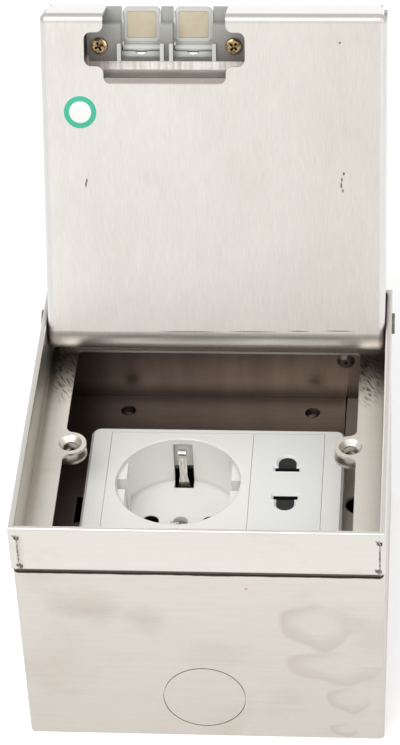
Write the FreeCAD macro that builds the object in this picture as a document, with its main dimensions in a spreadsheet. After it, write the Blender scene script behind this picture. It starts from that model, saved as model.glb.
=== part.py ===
import FreeCAD, Part

import os
import re

import Sketcher

# Floor socket box: a folded steel back box, a hemmed square frame that sits on it,
# a deep lid tray on two riveted pins, two sprung cable flaps in the lid, and a pair of
# socket modules on a steel cradle.
# Axes: X to the right, Y to the back, Z up. Origin: middle of the box's underside.

V = FreeCAD.Vector
Turn = FreeCAD.Rotation

SIZES = [
    # overall and frame
    ("total_height", 86.3, "underside of the box to the frame's top rim"),
    ("frame_width", 110.0, "frame outside, X"),
    ("frame_depth", 113.0, "frame outside, Y"),
    ("frame_wall", 1.76, "hemmed wall, two sheets thick"),
    ("frame_sheet", 0.88, "one sheet of the frame"),
    ("skirt_height", 16.1, "outer skirt, rim to its lower edge"),
    ("ledge_drop", 16.8, "rim down to the top of the ledge"),
    ("ledge_width", 9.98, "width of the side ledges, frame outside to opening"),
    ("ledge_end_width", 11.8, "width of the front and rear ledges"),
    ("ledge_corner", 1.2, "corner radius of the ledge opening"),
    ("ear_inset", 1.77, "fixing hole in from the ledge's opening"),
    ("ear_radius", 5.0, "round end of a fixing ear"),
    ("ear_fillet", 2.6, "ear into ledge"),
    ("ear_hole_radius", 2.15, "clearance hole for an M4 screw"),
    ("dimple_radius", 3.6, "countersink at the ear's face"),
    ("dimple_depth", 1.5, "depth of the pressed countersink"),
    ("slit_width", 0.35, "slit where the skirt's panels meet"),
    ("slit_left", 2.4, "left slit, in from the corner"),
    ("slit_right", 1.5, "right slit, in from the corner"),
    ("slit_top", 3.2, "slit stops this far below the rim"),
    ("relief_width", 1.3, "relief notch at the top of a slit"),
    ("hem_radius", 0.7, "rounding of the hemmed rim"),
    # back box
    ("box_side_inset", 0.4, "back box in from the frame, at the sides"),
    ("box_end_inset", 0.1, "back box in from the frame, front and rear"),
    ("box_sheet", 1.2, "back box sheet"),
    ("box_corner", 1.6, "outside bend radius of the box's upright corners"),
    ("knockout_radius", 12.65, "scored knock-out"),
    ("knockout_height", 16.8, "knock-out centre above the underside"),
    ("knockout_score", 0.3, "width of the score line"),
    ("score_depth", 0.55, "depth of the score line"),
    ("seam_inset", 14.6, "butt seam in from the box's right side"),
    ("seam_width", 0.3, "width of the seam"),
    ("seam_depth", 0.5, "depth of the seam line"),
    ("pan_flange", 11.0, "upturned edge of the bottom pan"),
    ("pan_gap", 0.05, "pan to wall"),
    ("rivet_radius", 1.6, "rivet shank"),
    ("rivet_gap", 0.03, "rivet shank to hole"),
    ("rivet_head", 2.9, "rivet head radius"),
    ("rivet_dome", 1.1, "height of a rivet head"),
    ("rivet_crown", 1.6, "radius of the flat on a rivet head"),
    ("pan_rivet_height", 6.5, "pan rivets above the underside"),
    ("pan_rivet_pitch", 70.0, "between pan rivets along Y"),
    ("seam_rivet_height", 57.2, "upper seam rivet above the underside"),
    ("seam_rivet_low", 24.0, "lower seam rivet above the underside"),
    # tapped lugs on the side walls
    ("lug_drop", 2.6, "ear's underside to lug's top"),
    ("lug_sheet", 1.0, "lug bracket sheet"),
    ("lug_height", 13.0, "leaf of the lug bracket on the wall"),
    ("lug_width", 26.0, "leaf of the lug bracket along Y"),
    ("lug_tap_radius", 1.65, "tapping hole for M4"),
    ("lug_rivet_pitch", 17.0, "between lug rivets along Y"),
    # cradle
    ("cradle_top", 41.4, "top of the cradle plate above the underside"),
    ("cradle_sheet", 1.2, "cradle sheet"),
    ("cradle_gap", 0.05, "cradle to wall"),
    ("cradle_flange", 12.0, "downturned side of the cradle"),
    ("cradle_rivet_drop", 6.5, "cradle rivets below its top"),
    ("cradle_rivet_pitch", 60.0, "between cradle rivets along Y"),
    ("cradle_hole_radius", 2.45, "holes in the cradle"),
    ("cradle_hole_pitch", 60.0, "between cradle holes along X"),
    ("cradle_hole_shift", -0.75, "cradle holes, middle of the pair"),
    ("cradle_hole_inset", 7.6, "cradle holes in from the box's wall"),
    ("window_margin", 2.25, "cradle opening past the modules, at the sides"),
    ("window_lip", 1.2, "cradle opening in from the modules' ends"),
    ("stay_gap", 0.15, "cradle to stay"),
    ("stay_hole_radius", 4.2, "hole in the stay"),
    ("stay_hole_inset", 6.5, "hole in the stay, in from the box's side"),
    ("stay_hole_y", 4.2, "hole in the stay, Y"),
    ("emboss_height", 0.6, "raised pad of the cradle"),
    ("emboss_reach", 10.0, "raised pad's reach from the box's wall"),
    ("side_slot", 1.8, "slot beside the raised pad"),
    ("emboss_edge", 8.9, "raised pad's rear edge from the middle"),
    ("emboss_chamfer", 3.0, "cut corner of the raised pad"),
    # lid
    ("lid_side_gap", 0.29, "side of the lid to the frame's inside"),
    ("lid_front_gap", 0.5, "front of the lid to the frame's inside"),
    ("lid_rear_gap", 1.24, "rear of the lid to the frame's inside"),
    ("lid_height", 16.4, "depth of the tray outside"),
    ("lid_sheet", 0.9, "lid sheet"),
    ("lid_front_bend", 2.2, "outside bend radius at the lid's front"),
    ("lid_side_bend", 2.0, "outside bend radius at the lid's sides"),
    ("lid_rear_bend", 7.1, "outside bend radius, lower rear"),
    ("lid_swing_gap", 0.45, "rear of the lid to the frame as it swings"),
    ("lid_corner_slot", 1.4, "open corner between front and side walls"),
    ("hinge_inset", 10.5, "hinge axis in from the frame's rear face"),
    ("hinge_drop", 5.6, "hinge axis below the rim"),
    ("lid_swing_angle", 113.3, "degrees from shut to leaning on the rear rim"),
    ("pin_radius", 2.0, "hinge pin"),
    ("pin_gap", 0.05, "hinge pin to lid"),
    ("pin_head_radius", 3.3, "head of the hinge pin"),
    ("pin_head", 0.9, "thickness of the hinge pin's head"),
    ("pin_end", 1.6, "pin past the lid's side wall"),
    # cable outlet in the lid
    ("outlet_x", -14.8, "middle of the outlet"),
    ("neck_width", 37.6, "outlet at the lid's front"),
    ("outlet_width", 49.3, "outlet where the screws show"),
    ("outlet_step", 5.6, "front of the lid to the wide part"),
    ("outlet_wide_end", 16.1, "front of the lid to the end of the wide part"),
    ("outlet_end", 21.6, "front of the lid to the end of the outlet"),
    ("outlet_corner", 2.2, "corner radius of the outlet"),
    ("hood_sheet", 0.8, "steel hood behind the outlet"),
    ("hood_margin", 0.6, "outlet to the inside of the hood"),
    ("hood_inset", 1.7, "hood's back wall in from the outlet's end"),
    ("hood_flange", 4.5, "welding flange past the outlet's end"),
    ("hood_drop", 0.9, "rim of the tray down to the hood's top"),
    # flap bracket and flaps
    ("bracket_depth", 8.6, "underside of the lid up to the bracket's screw wings"),
    ("bracket_clearance", 0.65, "bracket in from the outlet's wide ends"),
    ("bracket_front", 4.75, "front of the lid to the step in the bracket"),
    ("bracket_rear", 16.2, "front of the lid to the bracket's rear edge"),
    ("bracket_web", 1.6, "thickness of the bracket's upper web"),
    ("bracket_gap", 0.1, "bracket to hood"),
    ("ear_reach", 5.6, "flap hinge down to the ends of the hinge ears"),
    ("ear_front", 10.6, "front edge of the hinge ears from the lid's front"),
    ("bracket_screw_inset", 3.9, "brass screws in from the outlet's wide ends"),
    ("bracket_screw_y", 11.4, "brass screws from the lid's front"),
    ("brass_head_radius", 2.6, "head of a brass screw"),
    ("brass_head", 1.5, "height of a brass screw's head"),
    ("brass_shank", 1.4, "shank of a brass screw"),
    ("flap_width", 11.5, "one flap"),
    ("flap_pitch", 16.1, "between the flaps"),
    ("flap_rise", 3.1, "flap's underside below the rim"),
    ("flap_thickness", 2.0, "flap"),
    ("flap_front", 0.3, "flap's free edge from the lid's front"),
    ("flap_rear", 10.9, "full thickness of the flap ends this far from the lid's front"),
    ("flap_neck", 0.3, "step from the flap's underside up to its neck"),
    ("flap_side_gap", 0.4, "flap to bracket"),
    ("flap_corner", 1.6, "corner radius of a flap"),
    ("flap_rim", 1.15, "border round the pad of a flap"),
    ("pad_depth", 1.1, "recess of the pad"),
    ("pad_corner", 0.8, "corner radius of the pad"),
    ("pad_sink", 0.2, "pad's face below the border"),
    ("pad_gap", 0.05, "pad to its recess"),
    ("knuckle_y", 13.0, "flap hinge from the lid's front"),
    ("knuckle_rise", 3.1, "flap hinge below the rim"),
    ("knuckle_radius", 1.3, "barrel of a flap"),
    ("rod_radius", 0.75, "hinge rod of the flaps"),
    ("rod_gap", 0.05, "rod to barrel"),
    ("ear_thickness", 1.2, "hinge ears of the bracket"),
    ("ear_clearance", 0.3, "flap barrel to a hinge ear"),
    # sockets
    ("module_size", 45.0, "square module"),
    ("module_drop", 31.9, "rim down to the sockets' face"),
    ("module_shift", 0.7, "sockets to the right of the middle"),
    ("module_gap", 0.12, "between modules"),
    ("strip_width", 6.4, "end strip of the support"),
    ("support_lip", 2.2, "support past the modules' ends"),
    ("support_corner", 3.0, "corner radius of the support"),
    ("support_edge", 0.8, "bevel round the support"),
    ("seat_side", 0.6, "seat under the modules' outer sides"),
    ("seat_end", 1.0, "seat under the modules' ends"),
    ("face_thickness", 2.2, "plastic face of a module"),
    ("recess_radius", 19.5, "round recess of the earthed socket"),
    ("recess_depth", 17.5, "depth of the round recess"),
    ("cup_wall", 1.4, "wall of the round recess"),
    ("cup_base", 3.4, "floor of the round recess"),
    ("rim_round", 0.4, "rounded rim of the recess"),
    ("guide_reach", 16.4, "middle of the recess to the flat of a side guide"),
    ("guide_drop", 1.8, "face down to the top of a side guide"),
    ("guide_notch", 4.7, "width of the notch in a side guide"),
    ("notch_reach", 19.3, "middle of the recess to the bottom of that notch"),
    ("pin_pitch", 19.0, "between the pin holes"),
    ("pin_hole_radius", 2.7, "pin hole"),
    ("sleeve_radius", 2.4, "bore of a contact sleeve"),
    ("clip_slot", 6.2, "width of an earth clip's slot"),
    ("clip_width", 4.2, "earth clip below the recess"),
    ("clip_leg", 2.4, "upright leg of the clip"),
    ("clip_foot", 5.0, "foot of a leg"),
    ("clip_flare", 4.0, "height of the flare at a foot"),
    ("clip_curl", 1.3, "curled tip of a leg"),
    ("clip_bore", 0.5, "hollow of the curl"),
    ("clip_sheet", 0.8, "earth clip strip"),
    ("clip_inset", 1.6, "clip in from the recess wall"),
    ("screw_seat", 2.4, "sunk seat of the centre screw"),
    ("screw_seat_depth", 2.5, "depth of that seat"),
    ("centre_head", 2.2, "head of the centre screw"),
    ("centre_head_height", 0.9, "height of that head"),
    ("centre_shank", 1.5, "shank of the centre screw"),
    ("post_radius", 2.6, "post that takes the centre screw"),
    ("module_back", 33.5, "sockets' face down to the rear of the housings"),
    ("flat_pitch", 12.8, "between the flat slots"),
    ("flat_length", 7.5, "flat slot"),
    ("flat_width", 1.6, "flat slot"),
    ("round_radius", 2.8, "round part of an opening"),
    ("round_reach", 4.9, "round part past the flat slot"),
    ("shutter_drop", 0.8, "face down to the black insert"),
    ("opening_bevel", 0.65, "bevel round an opening"),
    ("insert_gap", 0.1, "insert to its seat"),
    ("insert_width", 13.6, "black insert, X"),
    ("insert_depth", 29.4, "black insert, Y"),
    # earth stud
    ("stud_radius", 2.0, "earth stud, M4"),
    ("stud_collar", 3.2, "collar of the stud"),
    ("stud_height", 12.0, "earth stud above the underside"),
    ("stud_inset_x", 20.6, "earth stud in from the box's left side"),
    ("stud_inset_y", 18.4, "earth stud in from the box's front"),
    ("nut_flats", 7.0, "nut across flats"),
    ("nut_height", 3.2, "nut"),
    ("washer_radius", 4.5, "washer"),
    ("washer_thickness", 0.8, "washer"),
]

doc = FreeCAD.newDocument("floor_socket_box")
dims = doc.addObject("Spreadsheet::Sheet", "dims")
for row, (name, number, note) in enumerate(SIZES, start=1):
    dims.set("A%d" % row, note)
    dims.set("B%d" % row, str(number))
    dims.setAlias("B%d" % row, name)
doc.recompute()

NAMES = {name for name, _, _ in SIZES}

# Levels and places that several pieces share, worked out from the sizes above.
PLACES = {
    "ledge_top": "total_height - ledge_drop",
    "box_top": "total_height - ledge_drop - frame_sheet",
    "frame_x": "frame_width / 2",
    "frame_y": "frame_depth / 2",
    "box_x": "frame_x - box_side_inset",
    "box_y": "frame_y - box_end_inset",
    "wall_x": "box_x - box_sheet",
    "wall_y": "box_y - box_sheet",
    "seam_x": "box_x - seam_inset",
    "stud_x": "stud_inset_x - box_x",
    "stud_y": "stud_inset_y - box_y",
    "stay_hole_x": "box_x - stay_hole_inset",
    "cradle_hole_y": "wall_y - cradle_hole_inset",
    "emboss_inner": "wall_x - emboss_reach",
    "slot_inner": "emboss_inner - side_slot",
    "hinge_y": "frame_depth / 2 - hinge_inset",
    "hinge_z": "total_height - hinge_drop",
    "lid_x": "frame_x - frame_wall - lid_side_gap",
    "lid_front": "frame_wall + lid_front_gap - frame_depth / 2",
    "lid_rear": "frame_depth / 2 - frame_wall - lid_rear_gap",
    "lid_under": "total_height - lid_height",
    "knuckle_z": "total_height - knuckle_rise",
    "face_z": "total_height - module_drop",
    "group_left": "module_shift - 0.75 * module_size",
    "group_right": "module_shift + 0.75 * module_size",
    "split_x": "module_shift + 0.25 * module_size",
    "earthed_x": "module_shift - 0.25 * module_size",
    "twin_x": "module_shift + 0.5 * module_size",
    "half_module": "module_size / 2",
    "support_half": "half_module + support_lip",
    "window_x": "0.75 * module_size + window_margin",
    "window_y": "half_module - window_lip",
    "lug_top": "box_top - lug_drop",
    "lug_rivet_z": "lug_top - lug_height / 2",
    "cradle_under": "cradle_top - cradle_sheet",
    "cradle_rivet_z": "cradle_top - cradle_rivet_drop",
    "opening_x": "frame_width / 2 - ledge_width",
    "opening_y": "frame_depth / 2 - ledge_end_width",
    "ear_x": "opening_x - ear_inset",
    "skirt_low": "total_height - skirt_height",
    "swing": "frame_depth / 2 - frame_wall - lid_swing_gap - hinge_y",
    "chamfer_y": "hinge_y + sqrt(swing * swing - hinge_drop * hinge_drop)",
    "chamfer_z": "hinge_z + sqrt(swing * swing - (lid_rear - hinge_y) * (lid_rear - hinge_y))",
    "hood_top": "total_height - hood_drop",
    "hood_under": "hood_top - hood_sheet",
    "hood_half": "outlet_width / 2 + hood_margin",
    "hood_back": "lid_front + outlet_end - hood_inset",
    "bracket_half": "outlet_width / 2 - bracket_clearance",
    "bracket_screw_x": "outlet_width / 2 - bracket_screw_inset",
    "lid_floor": "lid_under + lid_sheet",
    "flap_under": "total_height - flap_rise",
    "bay_half": "flap_width / 2 + flap_side_gap",
    "bay_back": "lid_front + knuckle_y + flap_thickness + flap_side_gap",
    "flap_y": "lid_front + knuckle_y",
    "cup_floor": "face_z - recess_depth",
    "cup_under": "cup_floor - cup_base",
    "clip_base": "cup_under - pin_gap - clip_sheet",
    "back_z": "face_z - module_back",
    "clip_y": "recess_radius - clip_inset",
}


def bind(text):
    """An expression on the sheet, from a formula in plain names."""
    def swap(match):
        word = match.group(0)
        if word in PLACES:
            return "(" + bind(PLACES[word]) + ")"
        return "dims." + word if word in NAMES else word
    return re.sub(r"[a-z][a-z_]*", swap, str(text))


def value(text):
    """The present value of a formula, in millimetres or degrees."""
    return float(dims.evalExpression(bind(text).replace("dims.", "")))


# ---------------------------------------------------------------- drawing

def new_body(label):
    body = doc.addObject("PartDesign::Body", label)
    body.Label = label
    return body


def corners(sketch, points):
    """A closed outline, each corner tied to the sheet."""
    places = [V(value(x), value(y), 0) for x, y in points]
    count = len(points)
    first = sketch.GeometryCount
    for i in range(count):
        sketch.addGeometry(Part.LineSegment(places[i], places[(i + 1) % count]))
    for i in range(count):
        sketch.addConstraint(Sketcher.Constraint(
            "Coincident", first + i, 2, first + (i + 1) % count, 1))
    for i, (x, y) in enumerate(points):
        for kind, formula, now in (("DistanceX", x, places[i].x), ("DistanceY", y, places[i].y)):
            index = sketch.addConstraint(Sketcher.Constraint(kind, -1, 1, first + i, 1, now))
            sketch.setExpression("Constraints[%d]" % index, bind(formula))


def circle(sketch, x, y, radius):
    centre = V(value(x), value(y), 0)
    ring = sketch.addGeometry(Part.Circle(centre, V(0, 0, 1), value(radius)))
    for kind, formula, now in (("DistanceX", x, centre.x), ("DistanceY", y, centre.y)):
        index = sketch.addConstraint(Sketcher.Constraint(kind, -1, 1, ring, 3, now))
        sketch.setExpression("Constraints[%d]" % index, bind(formula))
    index = sketch.addConstraint(Sketcher.Constraint("Radius", ring, value(radius)))
    sketch.setExpression("Constraints[%d]" % index, bind(radius))


def new_sketch(body, name, plane, shapes, level):
    sketch = body.newObject("Sketcher::SketchObject", name + "_sketch")
    origin_plane = [f for f in body.Origin.OriginFeatures if f.Role == plane + "_Plane"][0]
    sketch.AttachmentSupport = [(origin_plane, "")]
    sketch.MapMode = "FlatFace"
    sketch.setExpression("AttachmentOffset.Base.z", bind(level))
    for shape in shapes:
        if isinstance(shape, tuple):
            circle(sketch, *shape)
        else:
            corners(sketch, shape)
    return sketch


def add(body, name, plane, low, high, *shapes):
    """Pad outlines between two levels. An outline is a list of corners, a circle a tuple."""
    level = "-(%s)" % high if plane == "XZ" else low
    return extrude(body, "Pad", name, plane, low, high, level, shapes)


def cut(body, name, plane, low, high, *shapes):
    """Pocket outlines between two levels."""
    level = "-(%s)" % low if plane == "XZ" else high
    return extrude(body, "Pocket", name, plane, low, high, level, shapes)


def extrude(body, kind, name, plane, low, high, level, shapes):
    sketch = new_sketch(body, name, plane, shapes, level)
    feature = body.newObject("PartDesign::" + kind, name)
    feature.Profile = (sketch, [""])
    feature.setExpression("Length", bind("(%s) - (%s)" % (high, low)))
    return feature


def box(x_low, x_high, y_low, y_high):
    return [(x_low, y_low), (x_high, y_low), (x_high, y_high), (x_low, y_high)]


def centred(width, depth):
    return box("-(%s) / 2" % width, "(%s) / 2" % width, "-(%s) / 2" % depth, "(%s) / 2" % depth)


def spin(body, name, kind, x, y, outline):
    """Revolve an outline of (radius, height) corners about the upright line at x, y."""
    sketch = new_sketch(body, name, "XZ", [outline], "-(%s)" % y)
    sketch.setExpression("AttachmentOffset.Base.x", bind(x))
    feature = body.newObject("PartDesign::" + kind, name)
    feature.Profile = (sketch, [""])
    feature.ReferenceAxis = (sketch, ["V_Axis"])
    feature.Angle = 360
    return feature


def round_off(body, name, radius, wanted, kind="Fillet"):
    """Fillet, or chamfer, every edge that the test picks."""
    doc.recompute()
    base = body.Tip
    edges = ["Edge%d" % (i + 1) for i, edge in enumerate(base.Shape.Edges) if wanted(edge)]
    if not edges:
        raise RuntimeError("no edge for " + name)
    feature = body.newObject("PartDesign::" + kind, name)
    feature.Base = (base, edges)
    feature.setExpression("Radius" if kind == "Fillet" else "Size", bind(radius))
    return feature


def along(edge, axis):
    if not isinstance(edge.Curve, Part.Line):
        return False
    return abs(abs(edge.Curve.Direction.dot(axis)) - 1) < 1e-6


def upright(edge):
    return along(edge, V(0, 0, 1))


SLACK = 0.02


def near(edge, x=None, y=None, z=None):
    """True where the edge's middle lies on these levels, on either side of the middle."""
    middle = edge.CenterOfMass
    pairs = ((middle.x, x), (middle.y, y), (middle.z, z))
    return all(want is None or abs(abs(have) - abs(value(want))) < SLACK for have, want in pairs)


TURNS = {"X": Turn(V(0, 1, 0), 90), "Y": Turn(V(1, 0, 0), -90), "Z": Turn()}


def cylinder(name, axis, x, y, z, radius, length):
    """A round bar that starts at x, y, z and runs along +X, +Y or +Z."""
    bar = doc.addObject("Part::Cylinder", name)
    bar.Placement = FreeCAD.Placement(V(), TURNS[axis])
    bar.setExpression("Radius", bind(radius))
    bar.setExpression("Height", bind(length))
    for side, formula in zip("xyz", (x, y, z)):
        bar.setExpression("Placement.Base." + side, bind(formula))
    return bar


def joined(label, solids):
    piece = doc.addObject("Part::MultiFuse", label)
    piece.Shapes = solids
    piece.Label = label
    return piece


def group(label, solids):
    piece = doc.addObject("Part::Compound", label)
    piece.Links = solids
    piece.Label = label
    return piece


NODES = []


def keep(piece, on_lid=False):
    """Hand a finished piece over. Lid pieces are drawn shut and swung to the open rest pose."""
    if on_lid:
        piece.setExpression("Placement", bind(
            "create(<<placement>>; create(<<vector>>; 0; 0; 0); "
            "create(<<rotation>>; create(<<vector>>; 1; 0; 0); -lid_swing_angle); "
            "create(<<vector>>; 0; hinge_y; hinge_z))"))
    NODES.append(piece)


# ---------------------------------------------------------------- back box

def rivet(name, axis, x, y, z, grip, head_first=False):
    """A flush rivet: its shank fills the hole, its domed head lies on the inner sheet."""
    shift = {"X": "(%s) + (%s)", "Y": "(%s) + (%s)"}[axis]
    shank_start = "rivet_dome" if head_first else "0"
    head_start = "0" if head_first else grip
    at = {"X": x, "Y": y}[axis]

    def place(start):
        moved = shift % (at, start)
        return (moved, y, z) if axis == "X" else (x, moved, z)

    shank = cylinder(name + "_shank", axis, *place(shank_start), "rivet_radius", grip)
    head = doc.addObject("Part::Cone", name + "_head")
    head.Placement = FreeCAD.Placement(V(), TURNS[axis])
    for side, formula in zip("xyz", place(head_start)):
        head.setExpression("Placement.Base." + side, bind(formula))
    wide, narrow = ("Radius2", "Radius1") if head_first else ("Radius1", "Radius2")
    head.setExpression(wide, bind("rivet_head"))
    head.setExpression(narrow, bind("rivet_crown"))
    head.setExpression("Height", bind("rivet_dome"))
    return joined(name, [shank, head])


def side_rivets(label, pitch, height, inner_sheet, gap):
    """Two rivets through each side wall and the sheet that lies inside it."""
    members = []
    for side in ("left", "right"):
        for end in ("-", ""):
            name = "%s_%s_%s" % (label, side, "front" if end else "rear")
            grip = "box_sheet + (%s) + (%s)" % (gap, inner_sheet)
            y = "%s(%s) / 2" % (end, pitch)
            if side == "left":
                members.append(rivet(name, "X", "-box_x", y, height, grip))
            else:
                start = "box_x - (%s) - rivet_dome" % grip
                members.append(rivet(name, "X", start, y, height, grip, head_first=True))
    keep(group(label, members))


def rivet_holes(pitch, height):
    radius = "rivet_radius + rivet_gap"
    return [("-(%s) / 2" % pitch, height, radius), ("(%s) / 2" % pitch, height, radius)]


def knockout(x, z):
    return [(x, z, "knockout_radius"), (x, z, "knockout_radius - knockout_score")]


def back_box():
    """One band of sheet folded round four corners and closed by a butt seam at the rear."""
    body = new_body("back_box")
    add(body, "band", "XY", "0", "box_top", centred("2 * box_x", "2 * box_y"))
    round_off(body, "outer_bends", "box_corner", upright)
    cut(body, "inside", "XY", "0", "box_top", centred("2 * wall_x", "2 * wall_y"))
    round_off(body, "inner_bends", "box_corner - box_sheet",
              lambda e: upright(e) and near(e, x="wall_x", y="wall_y"))
    score = knockout("0", "knockout_height")
    cut(body, "front_knockout", "XZ", "-box_y", "score_depth - box_y", *score)
    cut(body, "left_knockout", "YZ", "-box_x", "score_depth - box_x", *score)
    cut(body, "right_knockout", "YZ", "box_x - score_depth", "box_x", *score)
    seam_low, seam_high = "seam_x - seam_width / 2", "seam_x + seam_width / 2"
    cut(body, "seam_inside", "XY", "0", "box_top",
        box(seam_low, seam_high, "wall_y", "wall_y + seam_depth"))
    cut(body, "seam_outside", "XY", "0", "box_top",
        box(seam_low, seam_high, "box_y - seam_depth / 2", "box_y"))
    hole = "rivet_radius + rivet_gap"
    cut(body, "seam_holes", "XZ", "wall_y", "box_y",
        ("seam_x", "seam_rivet_height", hole), ("seam_x", "seam_rivet_low", hole))
    cut(body, "side_holes", "YZ", "-box_x", "box_x",
        *rivet_holes("pan_rivet_pitch", "pan_rivet_height"),
        *rivet_holes("lug_rivet_pitch", "lug_rivet_z"),
        *rivet_holes("cradle_rivet_pitch", "cradle_rivet_z"))
    keep(body)


def box_pan():
    """Bottom of the box: a shallow pan whose upturned edges are riveted inside the walls."""
    body = new_body("box_pan")
    out_x, out_y = "wall_x - pan_gap", "wall_y - pan_gap"
    add(body, "pan", "XY", "0", "pan_flange", centred("2 * (%s)" % out_x, "2 * (%s)" % out_y))
    round_off(body, "pan_bends", "box_corner", upright)
    cut(body, "pan_inside", "XY", "box_sheet", "pan_flange",
        centred("2 * (%s - box_sheet)" % out_x, "2 * (%s - box_sheet)" % out_y))
    cut(body, "pan_holes", "YZ", "-box_x", "box_x",
        *rivet_holes("pan_rivet_pitch", "pan_rivet_height"))
    cut(body, "stud_hole", "XY", "0", "box_sheet", ("stud_x", "stud_y", "stud_radius + rivet_gap"))
    cut(body, "pan_knockout", "XY", "0", "score_depth", *knockout("2 * knockout_radius", "0"))
    keep(body)


def lug_bracket(label, side):
    """A tapped tongue below each frame ear, on a leaf riveted to the side wall."""
    body = new_body(label)
    edge = "ear_x"
    low, high = ("wall_x - lug_sheet", "wall_x") if side > 0 else ("-wall_x", "lug_sheet - wall_x")
    tongue = (edge, "wall_x") if side > 0 else ("-wall_x", "-(%s)" % edge)
    tip = edge if side > 0 else "-(%s)" % edge
    under = "lug_top - lug_sheet"
    half = "lug_width / 2"
    add(body, "leaf", "YZ", low, high, box("-" + half, half, "lug_top - lug_height", "lug_top"))
    add(body, "tongue", "XY", under, "lug_top", box(*tongue, "-ear_radius", "ear_radius"))
    add(body, "tongue_end", "XY", under, "lug_top", (tip, "0", "ear_radius"))
    cut(body, "tapped_hole", "XY", under, "lug_top", (tip, "0", "lug_tap_radius"))
    cut(body, "leaf_holes", "YZ", low, high, *rivet_holes("lug_rivet_pitch", "lug_rivet_z"))
    keep(body)


def cradle():
    """The plate that the sockets stand on. Its ends are welded to the walls, its side riveted."""
    body = new_body("cradle_plate")
    left, right = "cradle_gap - wall_x", "seam_x - stay_gap"
    end = "wall_y - cradle_gap"
    flange = "cradle_top - cradle_flange"
    add(body, "plate", "XY", "cradle_under", "cradle_top", box(left, right, "-(%s)" % end, end))
    add(body, "side_flange", "YZ", left, left + " + cradle_sheet",
        box("box_corner - wall_y", "wall_y - box_corner", flange, "cradle_top"))
    add(body, "front_flange", "XZ", "-(%s)" % end, "cradle_sheet - (%s)" % end,
        box("box_corner - wall_x", right, flange, "cradle_top"))
    add(body, "rear_flange", "XZ", "%s - cradle_sheet" % end, end,
        box("box_corner - wall_x", right, flange, "cradle_top"))
    round_off(body, "plate_corners", "box_corner",
              lambda e: upright(e) and near(e, x=left, y=end))
    cut(body, "window", "XY", "cradle_under", "cradle_top",
        box("module_shift - window_x", "module_shift + window_x", "-window_y", "window_y"))
    holes = [("cradle_hole_shift %s cradle_hole_pitch / 2" % way, "%scradle_hole_y" % end_sign,
              "cradle_hole_radius") for way in "+-" for end_sign in ("", "-")]
    cut(body, "holes", "XY", "cradle_under", "cradle_top", *holes)
    cut(body, "flange_holes", "YZ", left, left + " + cradle_sheet",
        *rivet_holes("cradle_rivet_pitch", "cradle_rivet_z"))
    pad_low = "cradle_sheet - wall_x"
    add(body, "raised_pad", "XY", "cradle_top", "cradle_top + emboss_height",
        [(pad_low, "-emboss_edge"), ("-emboss_inner", "-emboss_edge"),
         ("-emboss_inner", "emboss_edge - emboss_chamfer"),
         ("-emboss_inner - emboss_chamfer / 2", "emboss_edge"), (pad_low, "emboss_edge")])
    cut(body, "side_slot", "XY", "cradle_under", "cradle_top",
        box("-emboss_inner", "-slot_inner",
            "emboss_chamfer - emboss_edge", "emboss_edge - emboss_chamfer"))
    keep(body)


def stay():
    """Right-hand strip beside the cradle, with the conduit hole."""
    body = new_body("conduit_stay")
    right = "wall_x - cradle_gap"
    end = "wall_y - cradle_gap"
    add(body, "strip", "XY", "cradle_under", "cradle_top",
        box("seam_x", right, "-(%s)" % end, end))
    add(body, "strip_flange", "YZ", right + " - cradle_sheet", right,
        box("box_corner - wall_y", "wall_y - box_corner", "cradle_top - cradle_flange", "cradle_top"))
    round_off(body, "strip_corners", "box_corner",
              lambda e: upright(e) and near(e, x=right, y=end))
    cut(body, "conduit_hole", "XY", "cradle_under", "cradle_top",
        ("stay_hole_x", "stay_hole_y", "stay_hole_radius"))
    cut(body, "strip_holes", "YZ", right + " - cradle_sheet", right,
        *rivet_holes("cradle_rivet_pitch", "cradle_rivet_z"))
    keep(body)


def seam_rivets():
    members = [rivet("seam_rivet_%s" % level, "Y", "seam_x", "wall_y - rivet_dome", height,
                     "box_sheet", head_first=True)
               for level, height in (("upper", "seam_rivet_height"), ("lower", "seam_rivet_low"))]
    keep(group("seam_rivets", members))


def earth_terminal():
    """An M4 stud pressed into the pan, with a washer and a nut."""
    stud = joined("earth_stud", [
        cylinder("stud_shank", "Z", "stud_x", "stud_y", "0", "stud_radius", "stud_height"),
        cylinder("stud_collar", "Z", "stud_x", "stud_y", "box_sheet", "stud_collar", "box_sheet")])
    keep(stud)
    rest = "2 * box_sheet"
    washer = new_body("earth_washer")
    add(washer, "disc", "XY", rest, rest + " + washer_thickness",
        ("stud_x", "stud_y", "washer_radius"), ("stud_x", "stud_y", "stud_radius + pin_gap"))
    keep(washer)
    nut = new_body("earth_nut")
    seat = rest + " + washer_thickness"
    corner_radius = "nut_flats / 2 / cos(30)"
    hexagon = [("stud_x + %s * cos(%d)" % (corner_radius, angle),
                "stud_y + %s * sin(%d)" % (corner_radius, angle)) for angle in range(0, 360, 60)]
    add(nut, "hexagon", "XY", seat, seat + " + nut_height", hexagon,
        ("stud_x", "stud_y", "stud_radius + pin_gap"))
    keep(nut)


# ---------------------------------------------------------------- frame

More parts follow.
